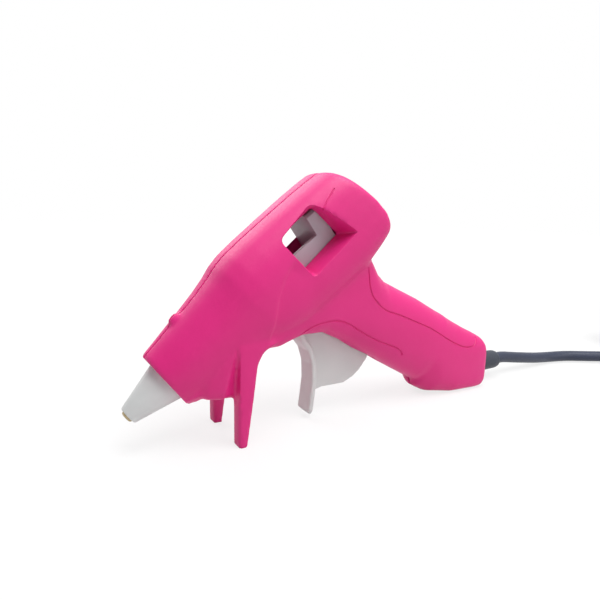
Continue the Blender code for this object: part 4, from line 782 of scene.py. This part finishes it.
def coilRoute():
    pivot = fromGround(coil["pivot"][0], 0, coil["pivot"][1])
    radius, leg = coil["radius"], coil["leg"]
    begin = math.pi / 2 - math.radians(gun["tilt"])
    spots = []
    for k in range(coil["turns"] * coil["turnPoints"] + 1):
        turn = k / coil["turnPoints"]
        angle = begin - 2 * math.pi * turn
        across = coil["first"] + coil["pitch"] * turn
        spots.append(Vector((radius * math.cos(angle), across, radius * math.sin(angle))))
    start = Vector((spots[0].x, coil["hook"], spots[0].z))
    end = spots[-1] + Vector((leg * math.sin(begin - math.pi), 0, -leg * math.cos(begin - math.pi)))
    return [pivot + p / 1000 for p in [start] + spots + [end]]


def makeTrigger():
    trigger = nodeCopy("trigger", "trigger_blade")
    remade(trigger, blade)
    softShade(trigger)
    dressed(trigger, "white", "trigger", "white_trigger", "trigger")
    spring = toMesh(tubeMesh("return_spring", coilRoute(), coil["wire"], coil["wireSides"]))
    softShade(spring, coil["shade"])
    dressed(spring, "spring", "trigger", "spring_steel", "trigger_spring")


def makeCarriage():
    carriage = nodeCopy("stick_carriage", "carriage")
    back = barrelPlace().inverted()
    wallRise, wallSide = trough["wallFrom"]
    for vert in carriage.data.vertices:
        along, across, rise = (back @ vert.co) * 1000
        if rise > trough["blockFrom"]:
            vert.co = fromBarrel(along, across, rise + trough["blockRise"])
        elif along < trough["wallTo"] and rise > wallRise and across > wallSide:
            vert.co = fromBarrel(along, across, trough["wallTop"])
    rounded(carriage, trough, 3)
    softShade(carriage)
    # white plastic given the darker grey finish, a painted shade
    dressed(carriage, "whiteInPaintedShade", "carriage", "white_carriage", "stick_carriage")


makeTrigger()
makeCarriage()
print("trigger and carriage made")


# screws with a cross in the head

screw = {
    "head": 2.1, "headLength": 1.6, "shank": 1.1, "sides": 28, "shade": 30,
    "point": (1.1, 0.2),                                        # its length, and its end as a share of the shank
    "threadFrom": 1.5, "threadPitch": 0.62, "threadRoom": 0.5,
    "neck": 0.8, "neckEnd": 0.3,                                # plain shank below the head
    "thread": ((0, 1), (0.12, 0.8), (0.3, 0.8), (0.42, 1)),     # one turn: place, and share of the shank
    "dome": ((0.7, 1), (0.3, 0.86), (0.08, 0.62), (0, 0.3)),    # back from the top, and share of the head
    "crossWidth": 0.42, "crossLength": 2.4, "crossDepth": 1.0,
}


def makeScrew(name, nodeName):
    low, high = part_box(nodeName)
    length = (high.y - low.y) * 1000
    seat = length - screw["headLength"]
    shank, head = screw["shank"], screw["head"]
    outline = [(0, shank * screw["point"][1]), (screw["point"][0], shank)]
    along = screw["threadFrom"]
    while along + screw["threadRoom"] < seat - screw["neck"]:
        outline += [(along + place, shank * share) for place, share in screw["thread"]]
        along += screw["threadPitch"]
    outline += [(seat - screw["neckEnd"], shank), (seat, shank), (seat, head)]
    outline += [(length - back, head * share) for back, share in screw["dome"]] + [(length, poleRadius)]
    piece = turnedPiece(name, outline, screw["sides"], closed=False)
    cross = (screw["crossWidth"], screw["crossLength"])
    for size in (cross, cross[::-1]):
        bpy.ops.object.select_all(action="DESELECT")
        bpy.ops.mesh.primitive_cube_add(size=0.001, location=(0, 0, length / 1000))
        cutter = named("crossCutter")
        cutter.scale = (*size, 2 * screw["crossDepth"])
        bpy.ops.object.transform_apply(location=True, rotation=True, scale=True)
        cutBy(piece, cutter)
    spot = Vector(((low.x + high.x) / 2, low.y, (low.z + high.z) / 2))
    piece.data.transform(Matrix.Translation(spot) @ Matrix.Rotation(-math.pi / 2, 4, "X"))
    softShade(piece, screw["shade"])
    dressed(piece, "screw", "housing", "screw_steel", nodeName)


for number in (1, 2, 3, 4):
    makeScrew("case_screw_%d" % number, "housing_screw_%d" % number)
makeScrew("clip_screw", "clamp_screw")
print("screws made")


# bend sleeve and the pieces inside

sleeve = {
    "outline": ((121.7, 4.6), (123.7, 4.6), (123.7, 3.4), (126.3, 3.4), (126.3, 4.55), (126.7, 4.62), (131.0, 4.62),
                (140.0, 4.5), (142.9, 4.42), (144.0, 4.15), (144.7, 3.6), (145.0, 3.0)),
    "height": 8.3, "sides": 48,
}
wires = {
    "radius": 0.7, "sides": 12, "steps": 4, "shade": 60,
    # from the heater past the seal and the carriage, in the barrel's frame
    "barrel": ((38.1, 1.75, 7.8), (39.15, 1.75, 7.8), (40.9, 2.975, 9.48), (43.0, 5.0, 10.6), (46.2, 5.0, 10.6),
               (48.0, 6.94, 9.0), (51.99, 8.95, 2.0), (57.34, 8.95, -4.27), (65.6, 8.28, -9.65)),
    # then down the grip and into the cord
    "grip": ((44.98, 6.05, 45.0), (59.98, 5.6, 40.0), (74.97, 5.04, 30.0), (88.2, 3.92, 17.98), (91.1, 1.4, 8.3),
             (94.6, 1.4, 8.3), (96.7, 1.4, 8.3)),
}
stub = {
    "start": ((0, 2.0), (0.01, 2.7), (0.1, 2.8)), "end": ((0.1, 2.8), (0, 2.7), (0, poleRadius)), "sides": 32,
}


def makeSleeve():
    piece = turnedPiece("bend_sleeve", list(sleeve["outline"]), sleeve["sides"], closed=False)
    laidAlong(piece, Matrix.Translation(fromGround(0, 0, sleeve["height"])))
    softShade(piece)
    dressed(piece, "relief", "housing", "relief_rubber", "strain_relief")


def wireRoute(side):
    points = [fromBarrel(along, side * across, rise) for along, across, rise in wires["barrel"]]
    points += [fromGround(x, side * y, z) for x, y, z in wires["grip"]]
    return smoothLine(points, wires["steps"])


def makeInside():
    for number, side in ((1, -1), (2, 1)):
        wire = toMesh(tubeMesh("heater_lead_%d" % number, wireRoute(side), wires["radius"], wires["sides"]))
        softShade(wire, wires["shade"])
        dressed(wire, "wire", "housing", "wire_silicone", "heater_wire_%d" % number)
    low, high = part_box("inner_cord")
    length = (high.x - low.x) * 1000
    outline = [*stub["start"], *((length - back, radius) for back, radius in stub["end"])]
    inner = turnedPiece("cord_stub", outline, stub["sides"], closed=False)
    laidAlong(inner, Matrix.Translation((low.x, 0, (low.z + high.z) / 2)))
    softShade(inner)
    dressed(inner, "cord", "housing", "cord_pvc", "inner_cord")


makeSleeve()
makeInside()
for nodeName, key in (("heater_barrel", "aluminium"), ("ptc_heater", "ceramic"), ("heater_clip", "spring"),
                      # the stick guide's white plastic also gets the darker grey, a painted shade
                      ("heater_mount", "board"), ("stick_seal", "seal"), ("stick_guide", "whiteInPaintedShade"),
                      ("grip_plate", "spring"), ("drive_pin", "spring"), ("trigger_pin", "spring"),
                      ("cord_clamp", "white")):
    refinish(nodeName, key)
print("inside dressed")


# floor and light, in metres

studio = {
    "floor": 4.0, "below": 0.00005, "floorShade": 0.66, "floorRough": 0.9,
    "shadowShare": 0.3, "shadowReach": (0.25, 0.6), "glow": 1.1, "sky": 0.22, "aim": (0, 0, 0.04),
    # name, place, size and power
    "lamps": (("topLamp", (0.08, -0.16, 0.64), 0.55, 5.0), ("frontLamp", (0.32, -0.48, 0.28), 0.36, 0.62),
              ("backLamp", (-0.10, 0.50, 0.50), 0.50, 2.2)),
}


def shownRays(tree):
    # the rays that see plain white: straight from the camera, off a gloss or through a clear piece
    rays = addNode(tree, "LightPath")
    first = addNode(tree, "Math", operation="MAXIMUM")
    second = addNode(tree, "Math", operation="MAXIMUM")
    tree.links.new(rays.outputs["Is Camera Ray"], first.inputs[0])
    tree.links.new(rays.outputs["Is Glossy Ray"], first.inputs[1])
    tree.links.new(first.outputs[0], second.inputs[0])
    tree.links.new(rays.outputs["Is Transmission Ray"], second.inputs[1])
    return second.outputs[0]


def makeFloor():
    # the floor takes the shadow near the gun and fades to plain white further out
    bpy.ops.object.select_all(action="DESELECT")
    bpy.ops.mesh.primitive_plane_add(size=studio["floor"], location=(0, 0, -studio["below"]))
    floor = named("floor")
    paint = bpy.data.materials.new("floor_paint")
    paint.use_nodes = True
    tree = paint.node_tree
    shader = tree.nodes["Principled BSDF"]
    shader.inputs["Base Color"].default_value = (*[studio["floorShade"]] * 3, 1)
    shader.inputs["Roughness"].default_value = studio["floorRough"]
    glow = addNode(tree, "Emission", {"Strength": studio["glow"]})
    mix = addNode(tree, "MixShader")
    where = addNode(tree, "TexCoord")
    distance = addNode(tree, "VectorMath", operation="LENGTH")
    near, far = studio["shadowReach"]
    fade = addNode(tree, "MapRange", {"From Min": near, "From Max": far, "To Min": 1 - studio["shadowShare"]},
                   interpolation_type="SMOOTHSTEP")
    seen = addNode(tree, "Math", operation="MULTIPLY")
    link = tree.links.new
    link(where.outputs["Object"], distance.inputs[0])
    link(distance.outputs["Value"], fade.inputs["Value"])
    link(shownRays(tree), seen.inputs[0])
    link(fade.outputs["Result"], seen.inputs[1])
    link(seen.outputs[0], mix.inputs["Fac"])
    link(shader.outputs["BSDF"], mix.inputs[1])
    link(glow.outputs["Emission"], mix.inputs[2])
    link(mix.outputs["Shader"], tree.nodes["Material Output"].inputs["Surface"])
    floor.data.materials.append(paint)


def makeSky():
    world = bpy.data.worlds.new("studio")
    bpy.context.scene.world = world
    world.use_nodes = True
    sky = world.node_tree
    background = sky.nodes["Background"]
    background.inputs["Color"].default_value = (1, 1, 1, 1)
    level = addNode(sky, "MapRange", {"To Min": studio["sky"], "To Max": 1.0})
    sky.links.new(shownRays(sky), level.inputs["Value"])
    sky.links.new(level.outputs["Result"], background.inputs["Strength"])


def makeLamps():
    for name, spot, size, power in studio["lamps"]:
        data = bpy.data.lights.new(name, "AREA")
        data.size = size
        data.energy = power
        lamp = bpy.data.objects.new(name, data)
        bpy.context.scene.collection.objects.link(lamp)
        lamp.location = spot
        lamp.rotation_euler = (Vector(studio["aim"]) - Vector(spot)).to_track_quat("-Z", "Y").to_euler()


makeFloor()
makeSky()
makeLamps()
bpy.context.scene.view_settings.view_transform = "Standard"
print("floor and lamps placed")
for item in bpy.context.selected_objects:
    item.select_set(False)
